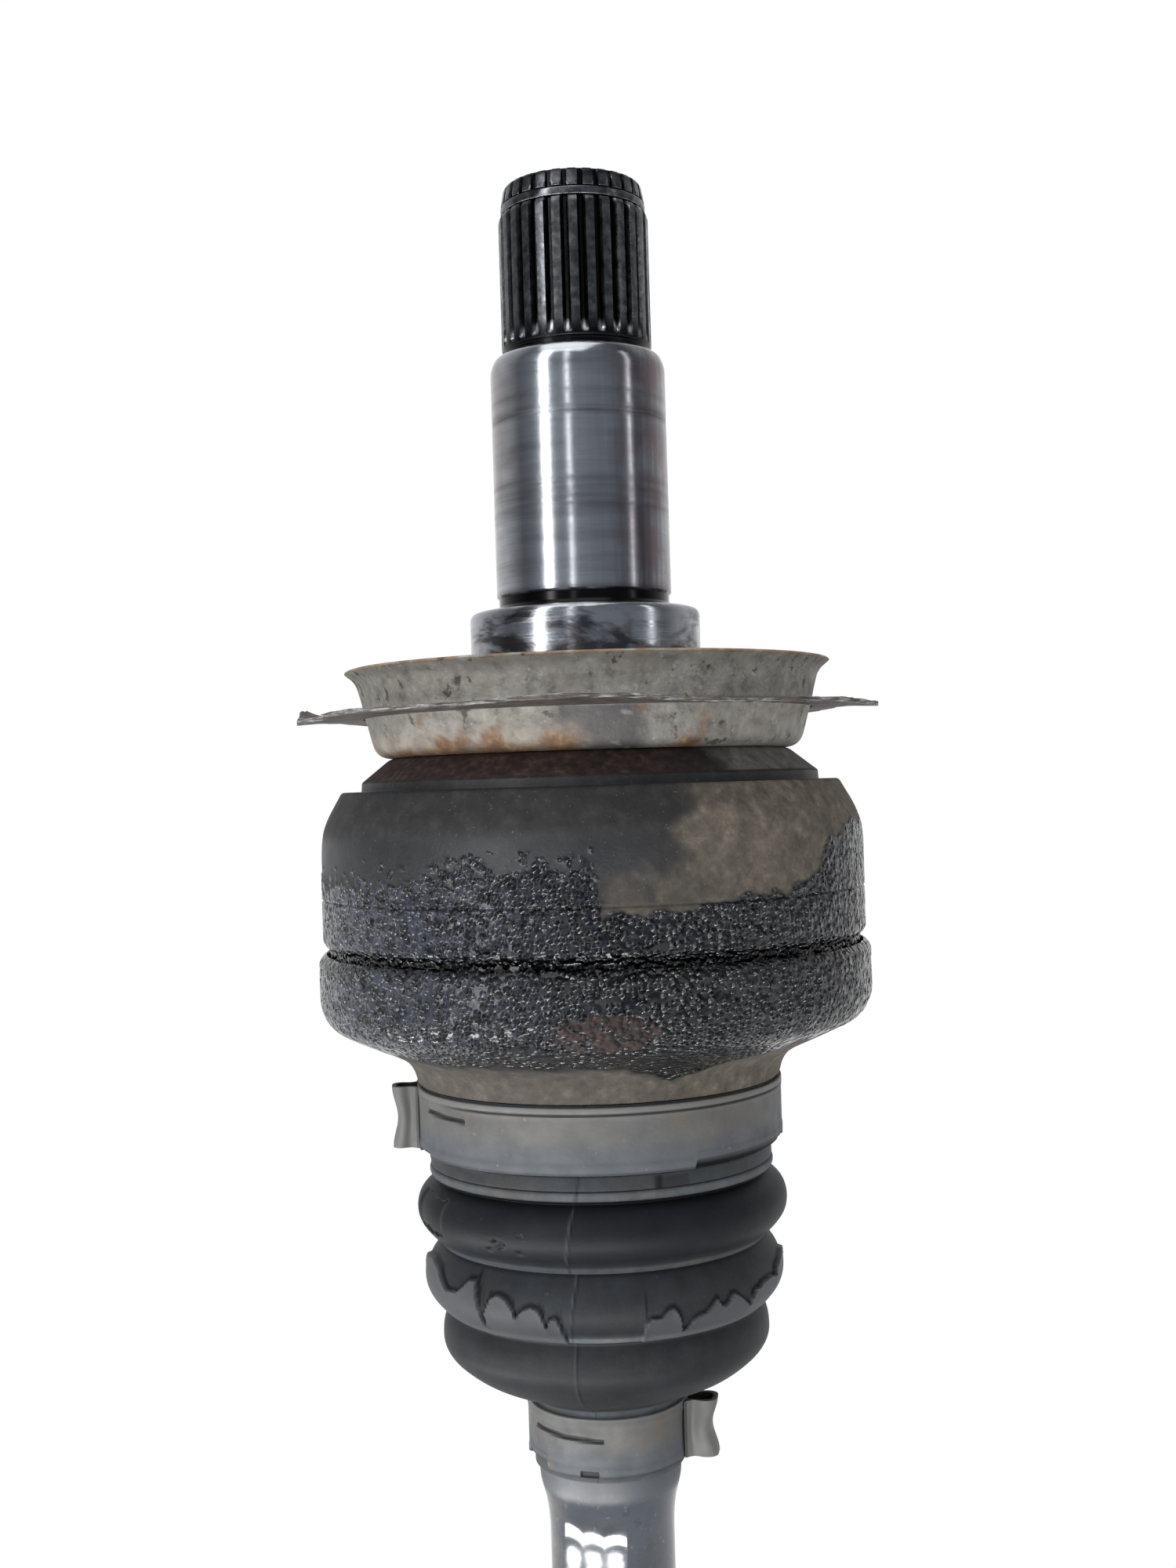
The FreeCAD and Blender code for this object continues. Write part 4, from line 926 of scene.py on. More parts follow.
class HALFSHAFT_OT_seal_journal(bpy.types.Operator):
    """Make the ground seal journal and the collar below it."""

    bl_idname = "halfshaft.seal_journal"
    bl_label = "Seal journal"

    def execute(self, context):
        s = sizes("stub")
        line = profile([
            (0, s.journal_top), (s.spline_radius - 0.2, s.journal_top, 0.4),
            (s.journal_radius - 0.9, s.journal_top - 0.9, 0.8), (s.journal_radius, s.journal_height, 1.2),
            (s.journal_radius, 3.3), (s.journal_radius - s.undercut, 2.8),
            (s.journal_radius - s.undercut, 1.2), (s.journal_radius + 0.05, 0.5),
            (s.journal_radius + 0.05, 0), (0, 0),
        ], spacing=1.0)

        def shape(r, turn, z):
            groove = band(z, 37.6, 0.45, 0.5)
            second = band(z, 40.9, 0.15, 0.4)
            scuffs = band(z, 21.5, 3.4, 1.5) * (0.5 + 0.5 * np.sin(z / 0.42))
            seal = np.maximum(np.maximum(groove * 0.9, second * 0.6), scuffs * 0.5)
            relief = smooth((3.7 - z) / 0.8)
            return r - 0.06 * groove - 0.03 * second, turn, z, {"seal": seal, "relief": relief}

        journal = turned("seal_journal", line, columns=224, shape=shape)
        dress(journal, "journal", "inner_housing", "forged_steel", "inner_joint_housing")
        z_low = low("dust_shield") + 0.2
        seat = sizes("shield").seat_radius
        collar_line = profile([
            (0, 0), (s.collar_radius, 0, s.collar_edge), (s.collar_radius, -12.5),
            (seat, -13.5), (seat, z_low), (0, z_low),
        ], spacing=1.2)
        collar = turned("collar", collar_line, columns=192)
        dress(collar, "collar", "inner_housing", "forged_steel", "inner_joint_housing")
        return {"FINISHED"}


# Cup and disc


class HALFSHAFT_OT_dust_shield(bpy.types.Operator):
    """Make the pressed cup with its flared rim, and the thin disc round it."""

    bl_idname = "halfshaft.dust_shield"
    bl_label = "Dust shield"

    def execute(self, context):
        s = sizes("shield")
        floor = low("dust_shield")
        rim = high("dust_shield")
        disc_low = low("deflector_disc")
        disc_high = high("deflector_disc")
        t = s.sheet
        line = profile([
            (s.seat_radius, floor), (s.foot_radius, floor, s.bend), (s.waist_radius - 0.6, disc_low, 0.8),
            (s.waist_radius, disc_high, 0.6), (s.waist_radius, s.waist_height, 2.5),
            (s.waist_radius + 1.3, rim - 2.2, 1.5), (s.rim_radius, rim - 0.35, 0.3),
            (s.rim_radius - 0.5, rim, 0.3), (s.rim_radius - 1.4, rim - 0.1, 0.4),
            (s.waist_radius + 1.1 - t, rim - 2.2, 1.5), (s.waist_radius - t, s.waist_height + 0.6, 2.5),
            (s.waist_radius - t, disc_high), (s.waist_radius - 0.6 - t, disc_low, 0.5),
            (s.foot_radius - t, floor + t, s.bend - t), (s.seat_radius + t, floor + t, 0.8),
            (s.seat_radius + t, floor + t + 4), (s.seat_radius, floor + t + 4),
        ], spacing=0.7, closed=True)

        def shape(r, turn, z):
            spot = place_of(r, turn, z)
            dent = lattice_noise(spot, 14, 5) - 0.5
            pit = lattice_noise(spot, 2.2, 9) - 0.5
            outer = smooth((r - 38) / 3)
            moved = r + outer * (dent * 0.5 + pit * 0.10) - 0.1 * outer
            angle = front_angle(turn)
            blotch = layered_noise(spot, 5, 31)
            fine = layered_noise(spot, 1.8, 37)
            under = smooth((disc_low + 0.3 - z) / 0.5)
            edge = smooth((z - (rim - 0.8)) / 0.6) * smooth((fine - 0.25) / 0.2)
            side = smooth((2 - angle) / 12) * smooth((angle + 80) / 12)
            tide = floor + 2.6 + (blotch - 0.5) * 4
            left = side * smooth((tide - z) / 2.2)
            tan = np.clip(side * smooth((tide + 3.2 - z) / 3) + 0.3 * blotch, 0, 1) * under
            spots = band(angle, 20, 6, 6) * smooth((blotch - 0.42) / 0.12)
            spots = spots + side * smooth((blotch - 0.60) / 0.06) * 0.7
            rust = np.clip(edge + left + spots * under, 0, 1)
            bare = band(angle, 3, 8, 5) * under * smooth((fine - 0.22) / 0.15)
            return moved, turn, z, {"rust": rust, "bare": bare * 0.9, "tan": tan}

        cup = turned("dust_shield_cup", line, columns=300, shape=shape, closed=True)
        dress(cup, "zinc", "inner_housing", "galvanised_steel", "dust_shield")

        line = profile([
            (s.waist_radius - 0.15, disc_low + 0.12), (s.disc_radius - 0.15, disc_low + 0.12, 0.15),
            (s.disc_radius - 0.15, disc_high - 0.12, 0.15), (s.waist_radius - 0.15, disc_high - 0.12),
        ], spacing=0.55, closed=True)

        edge = 58

        def warp(r, turn, z):
            """The edge is nicked and waves a little; its left tip is torn and curled.

            The noises are read at the edge's radius, so they run straight inwards.
            """
            reach = np.clip((r - s.waist_radius) / (s.disc_radius - s.waist_radius), 0, 1)
            angle = front_angle(turn)
            flat = place_of(edge, turn, z * 0)
            nick = layered_noise(flat, 6, 12, 4)
            sides = smooth((np.abs(np.abs(angle) - 90) - 4) / 22)
            inward = (0.4 + 2.2 * smooth((nick - 0.35) / 0.4)) * sides
            tip = smooth((9 - np.abs(angle + 91)) / 6)
            jag = tip * (layered_noise(place_of(edge, turn, z), 1.6, 44, 3) - 0.2) * 1.6
            wave = 0.55 * np.sin(3 * turn + 0.6) + 0.35 * np.sin(7 * turn)
            rise = tip * reach ** 3 * (0.8 + 2.2 * layered_noise(flat, 2.2, 61, 2))
            thin = 1 - 0.35 * reach * (layered_noise(flat, 4, 90, 2))
            middle = (disc_low + disc_high) / 2
            height = middle + (z - middle) * thin + (wave - 0.2) * reach + rise
            ply = 0.35 * reach * (layered_noise(place_of(edge, turn, z * 6), 3, 71, 3) - 0.5)
            rim = smooth((reach - 0.86) / 0.1)
            return r - reach ** 6 * (inward + jag), turn, height + ply, {"rim": rim}

        disc = turned("deflector_disc_sheet", line, columns=560, shape=warp, closed=True, sharp=45)
        dress(disc, "disc", "inner_housing", "deflector_sheet", "deflector_disc")
        return {"FINISHED"}


# Drum and can


# Degrees from the front and the height, in millimetres, above which the oily grit ends
GRIT_EDGE = (
    (-180, -52), (-120, -54), (-92, -54.5), (-78, -54), (-43, -51.8), (-27, -50), (-13, -49), (0, -49.8),
    (1.2, -57.6), (12, -56.5), (27, -54.6), (44, -53.2), (50, -50), (54, -46.5), (64, -43.5), (79, -42),
    (95, -44), (120, -50), (180, -52),
)
# The same, for the height below which the can is dusty and not gritty
GRIT_FOOT = (
    (-180, -83), (-95, -84), (-70, -85.2), (-35, -85.4), (-10, -85.2), (6, -85.6), (14, -88.4), (20, -89.8),
    (26, -88.6), (36, -86), (48, -84), (62, -82.6), (90, -82), (180, -83),
)


def neck_foot_height():
    """Height of the foot of the neck's cone."""
    return low("dust_shield") - sizes("drum").cone


def drum_top_height():
    """Height of the drum's top edge."""
    return neck_foot_height() - sizes("drum").ridge


def grime(r, turn, z):
    """Shape of drum and can: oily grit raised in grains, with attributes for the other patches."""
    angle = front_angle(turn)
    spot = place_of(r, turn, z)
    edge = by_angle(angle, GRIT_EDGE)
    foot = by_angle(angle, GRIT_FOOT)
    can_edge = high("boot_can")
    drum_top = drum_top_height()
    cone_foot = neck_foot_height()
    ragged = (layered_noise(spot, 5, 3) - 0.5) * 5
    wander = (layered_noise(spot, 6, 41) - 0.5) * 20
    grains = layered_noise(spot, 1.15, 17, 2)
    single = layered_noise(spot, 1.3, 19, 2)
    lumps = layered_noise(spot, 3.2, 23, 2)
    blotch = layered_noise(spot, 3.5, 47, 3)

    # Grit, dense between its two edges and in single grains above them on the left
    left = smooth((4 - angle) / 8) * smooth((angle + 150) / 30)
    above = smooth((edge + ragged - z) / 0.9)
    sparse = smooth((single - 0.42 - (z - edge) / 13) / 0.06)
    sparse = sparse * smooth((-41 - z) / 2)
    above = np.maximum(above, sparse * left)
    grit = above * smooth((z - foot - ragged * 0.8) / 1.1)

    # Oval crust of rust, cracked and with a broken rim
    oval = ((angle - 1.5) / 10) ** 2 + ((z + 77.6) / 3.4) ** 2
    breaks = layered_noise(spot, 4.5, 91, 3) + 0.3 * (angle > -8)
    cracks = smooth((np.abs(layered_noise(spot, 2.4, 77, 3) - 0.5) - 0.03) / 0.03)
    crust = smooth((1.1 - oval) / 0.12) * smooth((breaks - 0.34) / 0.05) * cracks

    outside = smooth(r - 43) + smooth(-79 - z)
    raised = 0.25 + 1.7 * (grains - 0.45) + 0.6 * (lumps - 0.5)
    raised = np.clip(outside, 0, 1) * grit * sizes("drum").grain * raised
    raised = raised * (1 - crust) + crust * 0.22 * layered_noise(spot, 1.5, 53, 2)

    # Road dust on the right and at the foot
    right = smooth((angle + wander - 13) / 12) * smooth((110 - angle) / 10)
    start = smooth((angle + wander * 0.3) / 5) * (angle < 60)
    start = start * smooth((-47.5 + (blotch - 0.5) * 6 - z) / 2.5)
    patch = np.maximum(right, start * np.clip(0.1 + blotch * 0.9, 0, 0.6)) * (0.62 + 0.76 * blotch)
    dusty_foot = smooth((foot + ragged * 0.8 - z) / 1.5)
    dust = np.clip(patch * 0.92 * (1 - grit) + dusty_foot * 0.8, 0, 1) * (z < drum_top)

    # Film of oil above the grit, its bluish colour partly a painted sheen, rusty and grey halves of the
    # neck's cone
    film = band(z, -47.0, 2.2, 3.5) * smooth((16 - angle) / 14) * (0.6 + 0.4 * lumps)
    film = np.maximum(film, 0.6 * (z > drum_top - 0.1) * (z < cone_foot - 0.1))
    cone = smooth((z - (cone_foot + 0.1)) / 0.3)
    red = cone * smooth((30 - angle + wander) / 16) + crust
    grey = cone * smooth((angle - 26 - wander) / 16)

    # Wet seam over the can's edge, painted near black as the shadow in the crease, and a broken painted
    # shadow below it
    seam = smooth((z - can_edge + 0.6) / 0.3)
    seam = seam * smooth((can_edge + 1.5 + lumps * 1.6 - z) / 0.4)
    below = smooth((can_edge + 0.2 - z) / 0.4)
    below = below * smooth((z - can_edge + 3.6) / 2.4)
    broken = smooth((breaks - 0.42 + 0.25 * (np.abs(angle - 22) < 24)) / 0.25)
    seam = np.maximum(seam, 0.85 * below * broken)
    values = {
        "seam": seam, "grit": grit, "dust": dust, "film": film,
        "red": np.clip(red, 0, 1), "grey": np.clip(grey, 0, 1),
    }
    return r - 0.2 + np.clip(raised, -0.17, 0.2), turn, z, values


def grimy_shell(name, line, node, slot):
    """The drum or the can, with grime and its columns closer at the front."""
    shell = turned(name, line, DRUM_COLUMNS, grime, closed=True, sharp=50, crowd=FRONT_CROWD)
    dress(shell, "drum", "inner_housing", slot, node)


class HALFSHAFT_OT_joint_drum(bpy.types.Operator):
    """Make the neck and drum of the inner joint, and the can rolled over its end."""

    bl_idname = "halfshaft.joint_drum"
    bl_label = "Joint drum"

    def execute(self, context):
        d = sizes("drum")
        top = low("dust_shield")
        foot = neck_foot_height()
        drum = drum_top_height()
        line_z = drum - d.line_drop
        end = low("inner_joint_housing")
        can_top = high("boot_can")
        fine = 0.3
        hollow = profile([
            (d.radius - 1.6, can_top - 2), (d.radius - 1.6, end + 2), (d.radius - 3, end), (d.bore, end),
            (d.bore, end + 41), (d.bore - 12, end + 46), (10, end + 46.6), (10, top - 0.2),
        ], spacing=5)
        line = profile([
            (d.neck_top - 3, top), (d.neck_top, top, 1.2), (d.neck_foot - 0.1, foot, 0.3),
            (d.neck_foot, drum, 0.3), (d.shoulder, drum + 0.05, 0.7), (d.radius - 0.7, drum - 6.3, 3),
            (d.radius, drum - d.shoulder_drop, 3), (d.radius, line_z + fine * 1.2),
            (d.radius - fine, line_z), (d.radius, line_z - fine * 1.2), (d.radius, can_top + 2.4, 0.7),
            (d.radius - 1.2, can_top + 1.1, 0.4), (d.radius - 1.2, can_top - 0.4),
        ], spacing=0.38)
        grimy_shell("joint_drum", joined(line, hollow), "inner_joint_housing", "forged_steel")

        t = d.can_sheet
        out = d.radius - 0.5 + t
        lip_z = high("inner_boot") + 0.2
        low_z = low("boot_can")
        can_line = profile([
            (out - t * 0.8, can_top, 0.3), (out, can_top - 1.2, 1.0), (out, end + 2.6, 1.6),
            (out - 1.9, end - 1.4, 2.4), (out - 8.2, end - 4.4, 3), (d.can_lip + 3.2, end - 7.6, 3.4),
            (d.can_lip + 0.9, lip_z + 3.2, 2.2), (d.can_lip, lip_z, 0.5), (d.can_neck, lip_z),
        ], spacing=0.36)
        inner_line = profile([
            (d.can_neck, lip_z - 0.5), (d.can_neck, low_z, 0.3), (d.can_neck - t, low_z, 0.3),
            (d.can_neck - t, lip_z + t), (d.can_lip - t, lip_z + t), (d.can_lip + 3.2 - t, end - 7.6 + t),
            (out - 8.2 - t, end - 4.4 + t), (out - 3.6, end - 0.3), (out - t, end + 2.5),
            (out - t, can_top),
        ], spacing=3)
        grimy_shell("boot_can_shell", joined(can_line, inner_line), "boot_can", "can_steel")
        return {"FINISHED"}


# Clamps


def ear_solid(name, bore, middle, width, height, wide, sheet, turn):
    """A bent ear: the outline of a loop, carried up the band's width and dipped at its middle."""
    outer = profile([
        (bore, wide), (bore + 0.9, wide * 0.80, 0.6), (bore + 1.7, wide * 0.66, 0.8),
        (bore + height * 0.72, wide * 0.86, 1.5), (bore + height, wide * 0.55, 1.2),
        (bore + height, -wide * 0.55, 1.2), (bore + height * 0.72, -wide * 0.86, 1.5),
        (bore + 1.7, -wide * 0.66, 0.8), (bore + 0.9, -wide * 0.80, 0.6), (bore, -wide),
    ], spacing=0.4)
    u = np.concatenate([outer[0], (outer[0] - sheet)[::-1]])
    inner_v = outer[1] * (1 - sheet / (wide * 0.7))
    v = np.concatenate([outer[1], inner_v[::-1]])
    u = np.maximum(u, bore)
    steps = np.linspace(-0.5, 0.5, 21)
    across, place = np.meshgrid(steps, np.arange(len(u)), indexing="ij")
    dip = 1 - 0.20 * np.cos(math.pi * across) ** 2
    lift = (u[place] - bore) * dip + bore
    side = v[place] * (1 + 0.10 * np.cos(math.pi * across) ** 2)
    x = lift * math.cos(turn) - side * math.sin(turn)
    y = lift * math.sin(turn) + side * math.cos(turn)
    z = middle + across * width
    rows, cols = x.shape
    index = np.arange(rows * cols).reshape(rows, cols)
    a = index[:-1]
    b = index[1:]
    quads = np.stack([a, b, np.roll(b, -1, 1), np.roll(a, -1, 1)], -1).reshape(-1, 4)
    half = cols // 2
    caps = []
    for row in (0, rows - 1):
        near = index[row, :half]
        far = index[row, ::-1][:half]
        cap = np.stack([near[:-1], near[1:], far[1:], far[:-1]], -1)
        caps.append(cap if row == 0 else cap[:, ::-1])
    vertices = np.stack([x, y, z], -1).reshape(-1, 3)
    # Painted shade inside the loop and at its foot on the band; the rest is pale
    dark = np.where(place >= half, 0.93, 0.45 * (lift < bore + 0.5)).reshape(-1)
    return mesh_object(name, vertices, [quads, *caps], {"dark": dark, "pale": 0.8 * (dark < 0.1)}, 40)


def stretch_of(angle, start, span, soft=0.8):
    """Along a stretch of degrees: how far, from 0 to 1, and a weight that falls off at both ends."""
    along = (angle - start) / span
    return np.clip(along, 0, 1), smooth((0.5 - np.abs(along - 0.5)) * span / soft)


def clamp(node, body, bore, columns, ear, lap, slots=(), notches=(), rim=0.0):
    """A band with a lapped end, an ear, sunk slots and notches in its low edge.

    Angles are degrees from the front. Ear is (angle, height), a slot (start, span, place across the
    band, thickness, rise), a notch (start, span, height), and rim the depth of a line under the top.
    """
    b = sizes("bar")
    z_low, z_high = low(node), high(node)
    width = z_high - z_low
    middle = (z_low + z_high) / 2
    outside = bore + b.clamp_sheet
    line = profile([
        (bore, z_low, 0.15), (outside, z_low, 0.3), (outside, z_high, 0.3), (bore, z_high, 0.15),
    ], spacing=0.35, closed=True)
    ear_angle, ear_height = ear

    def shape(r, turn, z):
        angle = front_angle(turn)
        out = smooth((r - bore - 0.3) / 0.3)
        wave = 0.06 * np.sin(5 * turn + 1) + 0.04 * np.sin(11 * turn)
        lapped = smooth((70 - np.abs((angle - lap + 180) % 360 - 180)) / 1.2)
        sink = 0.11 * band((z - middle) / width, 0, 0.30, 0.08)
        cut = np.zeros_like(r)
        for start, span, share, thick, rise in slots:
            along, ends = stretch_of(angle, start, span)
            level = middle + share * width + rise * along
            cut = np.maximum(cut, ends * smooth((thick / 2 + 0.15 - np.abs(z - level)) / 0.3))
        lift = np.zeros_like(r)
        for start, span, tall in notches:
            lift = np.maximum(lift, stretch_of(angle, start, span)[1] * tall)
        moved = z + lift * smooth((middle - z) / (width * 0.5))
        line_cut = 0
        # Pale top edge: worn, partly a painted highlight
        pale = smooth((moved - z_high + 0.5) / 0.3)
        if rim:
            line_cut = smooth((0.34 - np.abs(moved - z_high + rim)) / 0.16)
            line_cut = stretch_of(angle, -62, 150, 25)[1] * line_cut
            pale = smooth((moved - z_high + rim) / 0.2)
        grow = out * (lapped * 0.42 - sink - np.maximum(cut * 0.5, line_cut * 0.3))
        # Painted shade in the slots, in the line under the top and along the low edge
        edge = smooth((z_low + 0.55 + lift - moved) / 0.3)
        dark = np.maximum(np.maximum(cut * 0.97, line_cut * 0.8), edge * 0.7)
        under = smooth((middle + 1 - moved) / 6)
        values = {"dark": dark, "pale": pale * (1 - line_cut), "under": under}
        return r + wave * out + grow, turn, moved, values

    dress(turned(f"{node}_band", line, columns, shape, closed=True), "clamp", body, "clamp_steel", node)
    loop = ear_solid(f"{node}_ear", outside - 0.25, middle, width * 0.97, ear_height, b.ear_width / 2,
                     0.9, FRONT + math.radians(ear_angle))
    dress(loop, "clamp", body, "clamp_steel", node)


class HALFSHAFT_OT_clamps(bpy.types.Operator):
    """Make the four ear clamps."""

    bl_idname = "halfshaft.clamps"
    bl_label = "Clamps"

    def execute(self, context):
        boot = sizes("boot")
        outer = sizes("outer")
        tall = sizes("bar").ear_height
        gap = 0.05
        small = boot.small_radius + gap
        clamp("inner_large_clamp", "inner_housing", boot.cuff_radius + gap, 540, (-86, tall), -160,
              [(-66, 22, 0.24, 0.8, -0.5)], [(28, 60, 1.3), (-78, 14, 0.8)], 1.3)
        clamp("inner_small_clamp", "shaft", small, 360, (80, tall + 1.1), -160,
              [(-66, 62, 0.20, 0.75, -0.9), (-22, 14, -0.44, 1.1, 0)], [(-90, 40, 1.6)])
        large = outer.bell_radius + outer.cuff_wall + gap
        clamp("outer_large_clamp", "outer_housing", large, 280, (-130, tall), 30,
              [(-20, 18, 0.1, 0.7, 0)])
        clamp("outer_small_clamp", "shaft", small, 280, (150, tall), -60,
              [(-40, 50, 0.15, 0.7, 0)])
        return {"FINISHED"}


# Boots


def boot_zone(name, line, z_top, z_low, shape, bodies, node, wall, columns):
    """A stretch of a boot, cut square at two heights: outer line, then it again, in by the wall."""
    r, z = line
    order = np.argsort(-z)
    r, z = r[order], z[order]
    inside = (z < z_top - 1e-4) & (z > z_low + 1e-4)
    zs = np.concatenate([[z_top], z[inside], [z_low]])
    rs = np.interp(-zs, -z, r)
    outer_rows = len(zs)
    few = np.unique(np.append(np.arange(0, outer_rows, 4), outer_rows - 1))[::-1]
    radius = np.concatenate([rs, rs[few] - wall])
    height = np.concatenate([zs, zs[few]])

    def both(big, turn, tall):
        moved, angle, level, values = shape(big, turn, tall)
        skin = np.arange(len(radius))[:, None] < outer_rows
        return np.where(skin, moved, big), angle, np.where(skin, level, tall), values

    item = turned(name, (radius, height), columns, both, closed=True, sharp=40, crowd=FRONT_CROWD)
    if len(bodies) == 2:
        first, second = bodies
        z_top, z_low = z_top * MM, z_low * MM
        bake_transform(item, first, second, start=(0, 0, z_top), end=(0, 0, z_low))
    dress(item, "rubber", bodies[0], "boot_rubber", node)


def boot_zones(node, line, shape, borders, zones):
    """Stretches between borders, from the top down, each as (word, wall, columns, body or bodies)."""
    for (word, wall, columns, *bodies), z_top, z_low in zip(zones, borders, borders[1:]):
        boot_zone(f"{node}_{word}", line, z_top, z_low, shape, bodies, node, wall, columns)


# Upper edge of the torn skin: degrees from the front and share of the way down the fold, 0 at the
# valley above, 1 at the valley below, more where the skin is whole
TORN_EDGE = (
    (-100, 1.1), (-90, 0.3), (-75, 0.2), (-66, 0.26), (-58, 0.52), (-52, 0.49), (-49, 0.36), (-47, 0.25),
    (-44, 0.23), (-43.2, 0.4), (-41.8, 0.62), (-40.6, 0.98), (-39.8, 0.7), (-38.5, 0.6), (-37, 0.45),
    (-34.7, 0.38), (-33, 0.39), (-31, 0.44), (-29, 0.56), (-28, 0.68), (-27, 0.63), (-25, 0.55),
    (-22.8, 0.5), (-20.5, 0.54), (-19.2, 0.64), (-18.3, 0.78), (-17.2, 0.67), (-15.2, 0.63), (-13.8, 0.74),
    (-13, 0.97), (-12.4, 1.1), (11.5, 1.1), (12.1, 0.74), (13.6, 0.68), (16.5, 0.69), (19, 0.59),
    (20.3, 0.57), (22, 0.66), (23, 0.75), (24.3, 0.9), (25.8, 0.88), (27.2, 0.79), (29, 0.72), (31.3, 0.71),
    (34, 0.62), (35.3, 0.55), (36.9, 0.66), (38.5, 0.67), (40.1, 0.63), (41.5, 0.55), (42.5, 0.54),
    (45, 0.62), (47.2, 0.68), (50.8, 0.78), (51.5, 0.68), (53.1, 0.6), (55.3, 0.6), (56.2, 0.55),
    (59.1, 0.53), (63.3, 0.52), (67.6, 0.57), (69, 0.44), (75, 0.36), (82, 0.3), (90, 0.36), (100, 1.1),
)


def torn_edge(angle):
    """Share of the way down the fold at which the torn skin begins."""
    return by_angle(angle, TORN_EDGE)


class HALFSHAFT_OT_inner_boot(bpy.types.Operator):
    """Make the three-fold boot, in stretches that each cross one joint."""

    bl_idname = "halfshaft.inner_boot"
    bl_label = "Inner boot"

    def execute(self, context):
        b = sizes("boot")
        can_end = low("boot_can")
        top = high("inner_boot")
        bottom = low("inner_boot")
        fold_a = can_end - b.first_fold
        fold_b = fold_a - b.pitch
        fold_c = fold_b - b.pitch * 0.9
        dip_a = fold_a - b.pitch * 0.5
        dip_b = fold_b - b.pitch * 0.47
        lip = can_end - b.lip_length
        small_top = bottom + b.cuff_length
        cuff = b.cuff_radius - 0.1
        line = profile([
            (cuff, top), (cuff, can_end + 0.7), (b.lip_radius - 0.5, can_end + 0.3, 0.2),
            (b.lip_radius - 0.1, can_end - 0.1, 0.2), (b.lip_radius, can_end - 2.7, 0.3),
            (b.lip_radius - 0.4, can_end - 2.9), (b.lip_radius + 0.2, can_end - 3.3, 0.3),
            (b.lip_radius + 0.2, lip + 0.3, 0.6), (b.lip_radius - 1.3, lip - 0.5, 0.4),
            (b.crest_a - 1.0, fold_a + 3.6, 2.4), (b.crest_a, fold_a + 0.6, 2.6),
            (b.crest_a - 0.6, fold_a - 2.6, 2.4), (b.valley_a + 0.7, dip_a + 0.5, 0.7),
            (b.valley_a, dip_a - 0.05, 0.25), (b.valley_a + 0.5, dip_a - 0.6, 0.5),
            (b.crest_b - 0.5, fold_b + 3.2, 2.4), (b.crest_b - 0.02, fold_b - 0.4, 2.6),
            (b.crest_b - 0.9, fold_b - 3.2, 2.2), (b.valley_b + 1.5, dip_b + 0.5, 0.7),
            (b.valley_b + 0.6, dip_b - 0.05, 0.2), (b.valley_b + 0.4, dip_b - 0.6, 0.4),
            (b.crest_c - 0.2, fold_c + 2.6, 2.0), (b.crest_c - 0.05, fold_c - 2.6, 3.4),
            (b.crest_c * 0.83, fold_c - 7.4, 3.2), (b.crest_c * 0.60, small_top + 2.0, 1.2),
            (17.0, small_top + 0.6, 0.8), (b.small_radius - 0.05, small_top - 0.2, 0.5),
            (b.small_radius - 0.05, bottom),
        ], spacing=0.38)

        def shape(r, turn, z):
            """Torn skin on the second fold, worn spots, parting line, pockets and dust, with painted shadows
            along the torn edge, beside the parting line, in the pockets, in the groove under the can and
            under the lip.
            """
            spot = place_of(r, turn, z)
            angle = front_angle(turn)

            # The skin ends at a ragged edge, whose distance is measured square to its slope
            share = torn_edge(angle)
            upper = dip_a - share / 0.6 * (dip_a - fold_b)
            lower = fold_b - (share - 0.6) / 0.4 * (fold_b - dip_b)
            edge = np.where(share < 0.6, upper, lower)
            slope = torn_edge(angle + 0.4) - torn_edge(angle - 0.4)
            slope = slope * b.pitch / (b.crest_b * math.radians(0.8))
            inside = (edge - z) / np.sqrt(1 + slope ** 2)
            on_fold = (z > dip_b - 0.1) & (z < dip_a)
            skin = smooth(inside / 0.3 + 0.5) * on_fold
            curl = skin * np.exp(-np.maximum(inside, 0) / 0.9)
            # Painted shadow along the torn edge
            outline = smooth(1 - np.abs(inside + 0.42) / 0.62) * on_fold * (share < 1.05)

            # Worn spot and pits on the first fold
            reach = layered_noise(spot, 2.4, 8) * 2.2 + 2.2
            worn = smooth((reach - np.abs(z - fold_a - 1.0)) / 0.2) * band(angle, -68, 9, 3)
            pits = smooth((layered_noise(spot, 1.7, 12, 2) - 0.70) / 0.04) * band(angle, -42, 16, 4)
            pits = pits * band(z, fold_a - 1.0, 1.5, 0.8)

            # Parting line of the mould, with its painted shadow, and pockets under the can, painted dark as
            # shade
            below_dip = np.where(z > dip_b, (fold_b - z) / b.pitch, 0)
            drop = np.where(z > dip_a, (fold_a - z) / b.pitch, below_dip)
            seam = (angle + 10.5 + 3 * drop) / 0.40
            parting = np.exp(-seam ** 2)
            shadow = np.exp(-((seam - 1.5) ** 2))
            pocket = 0.25 * band(angle, -45, 4.5, 1) + 0.4 * band(angle, 23, 5, 1)
            pocket = pocket + 0.5 * band(angle, 18, 1, 0.8)
            pocket = band(z, can_end - 1.6, 1.0, 0.3) * pocket

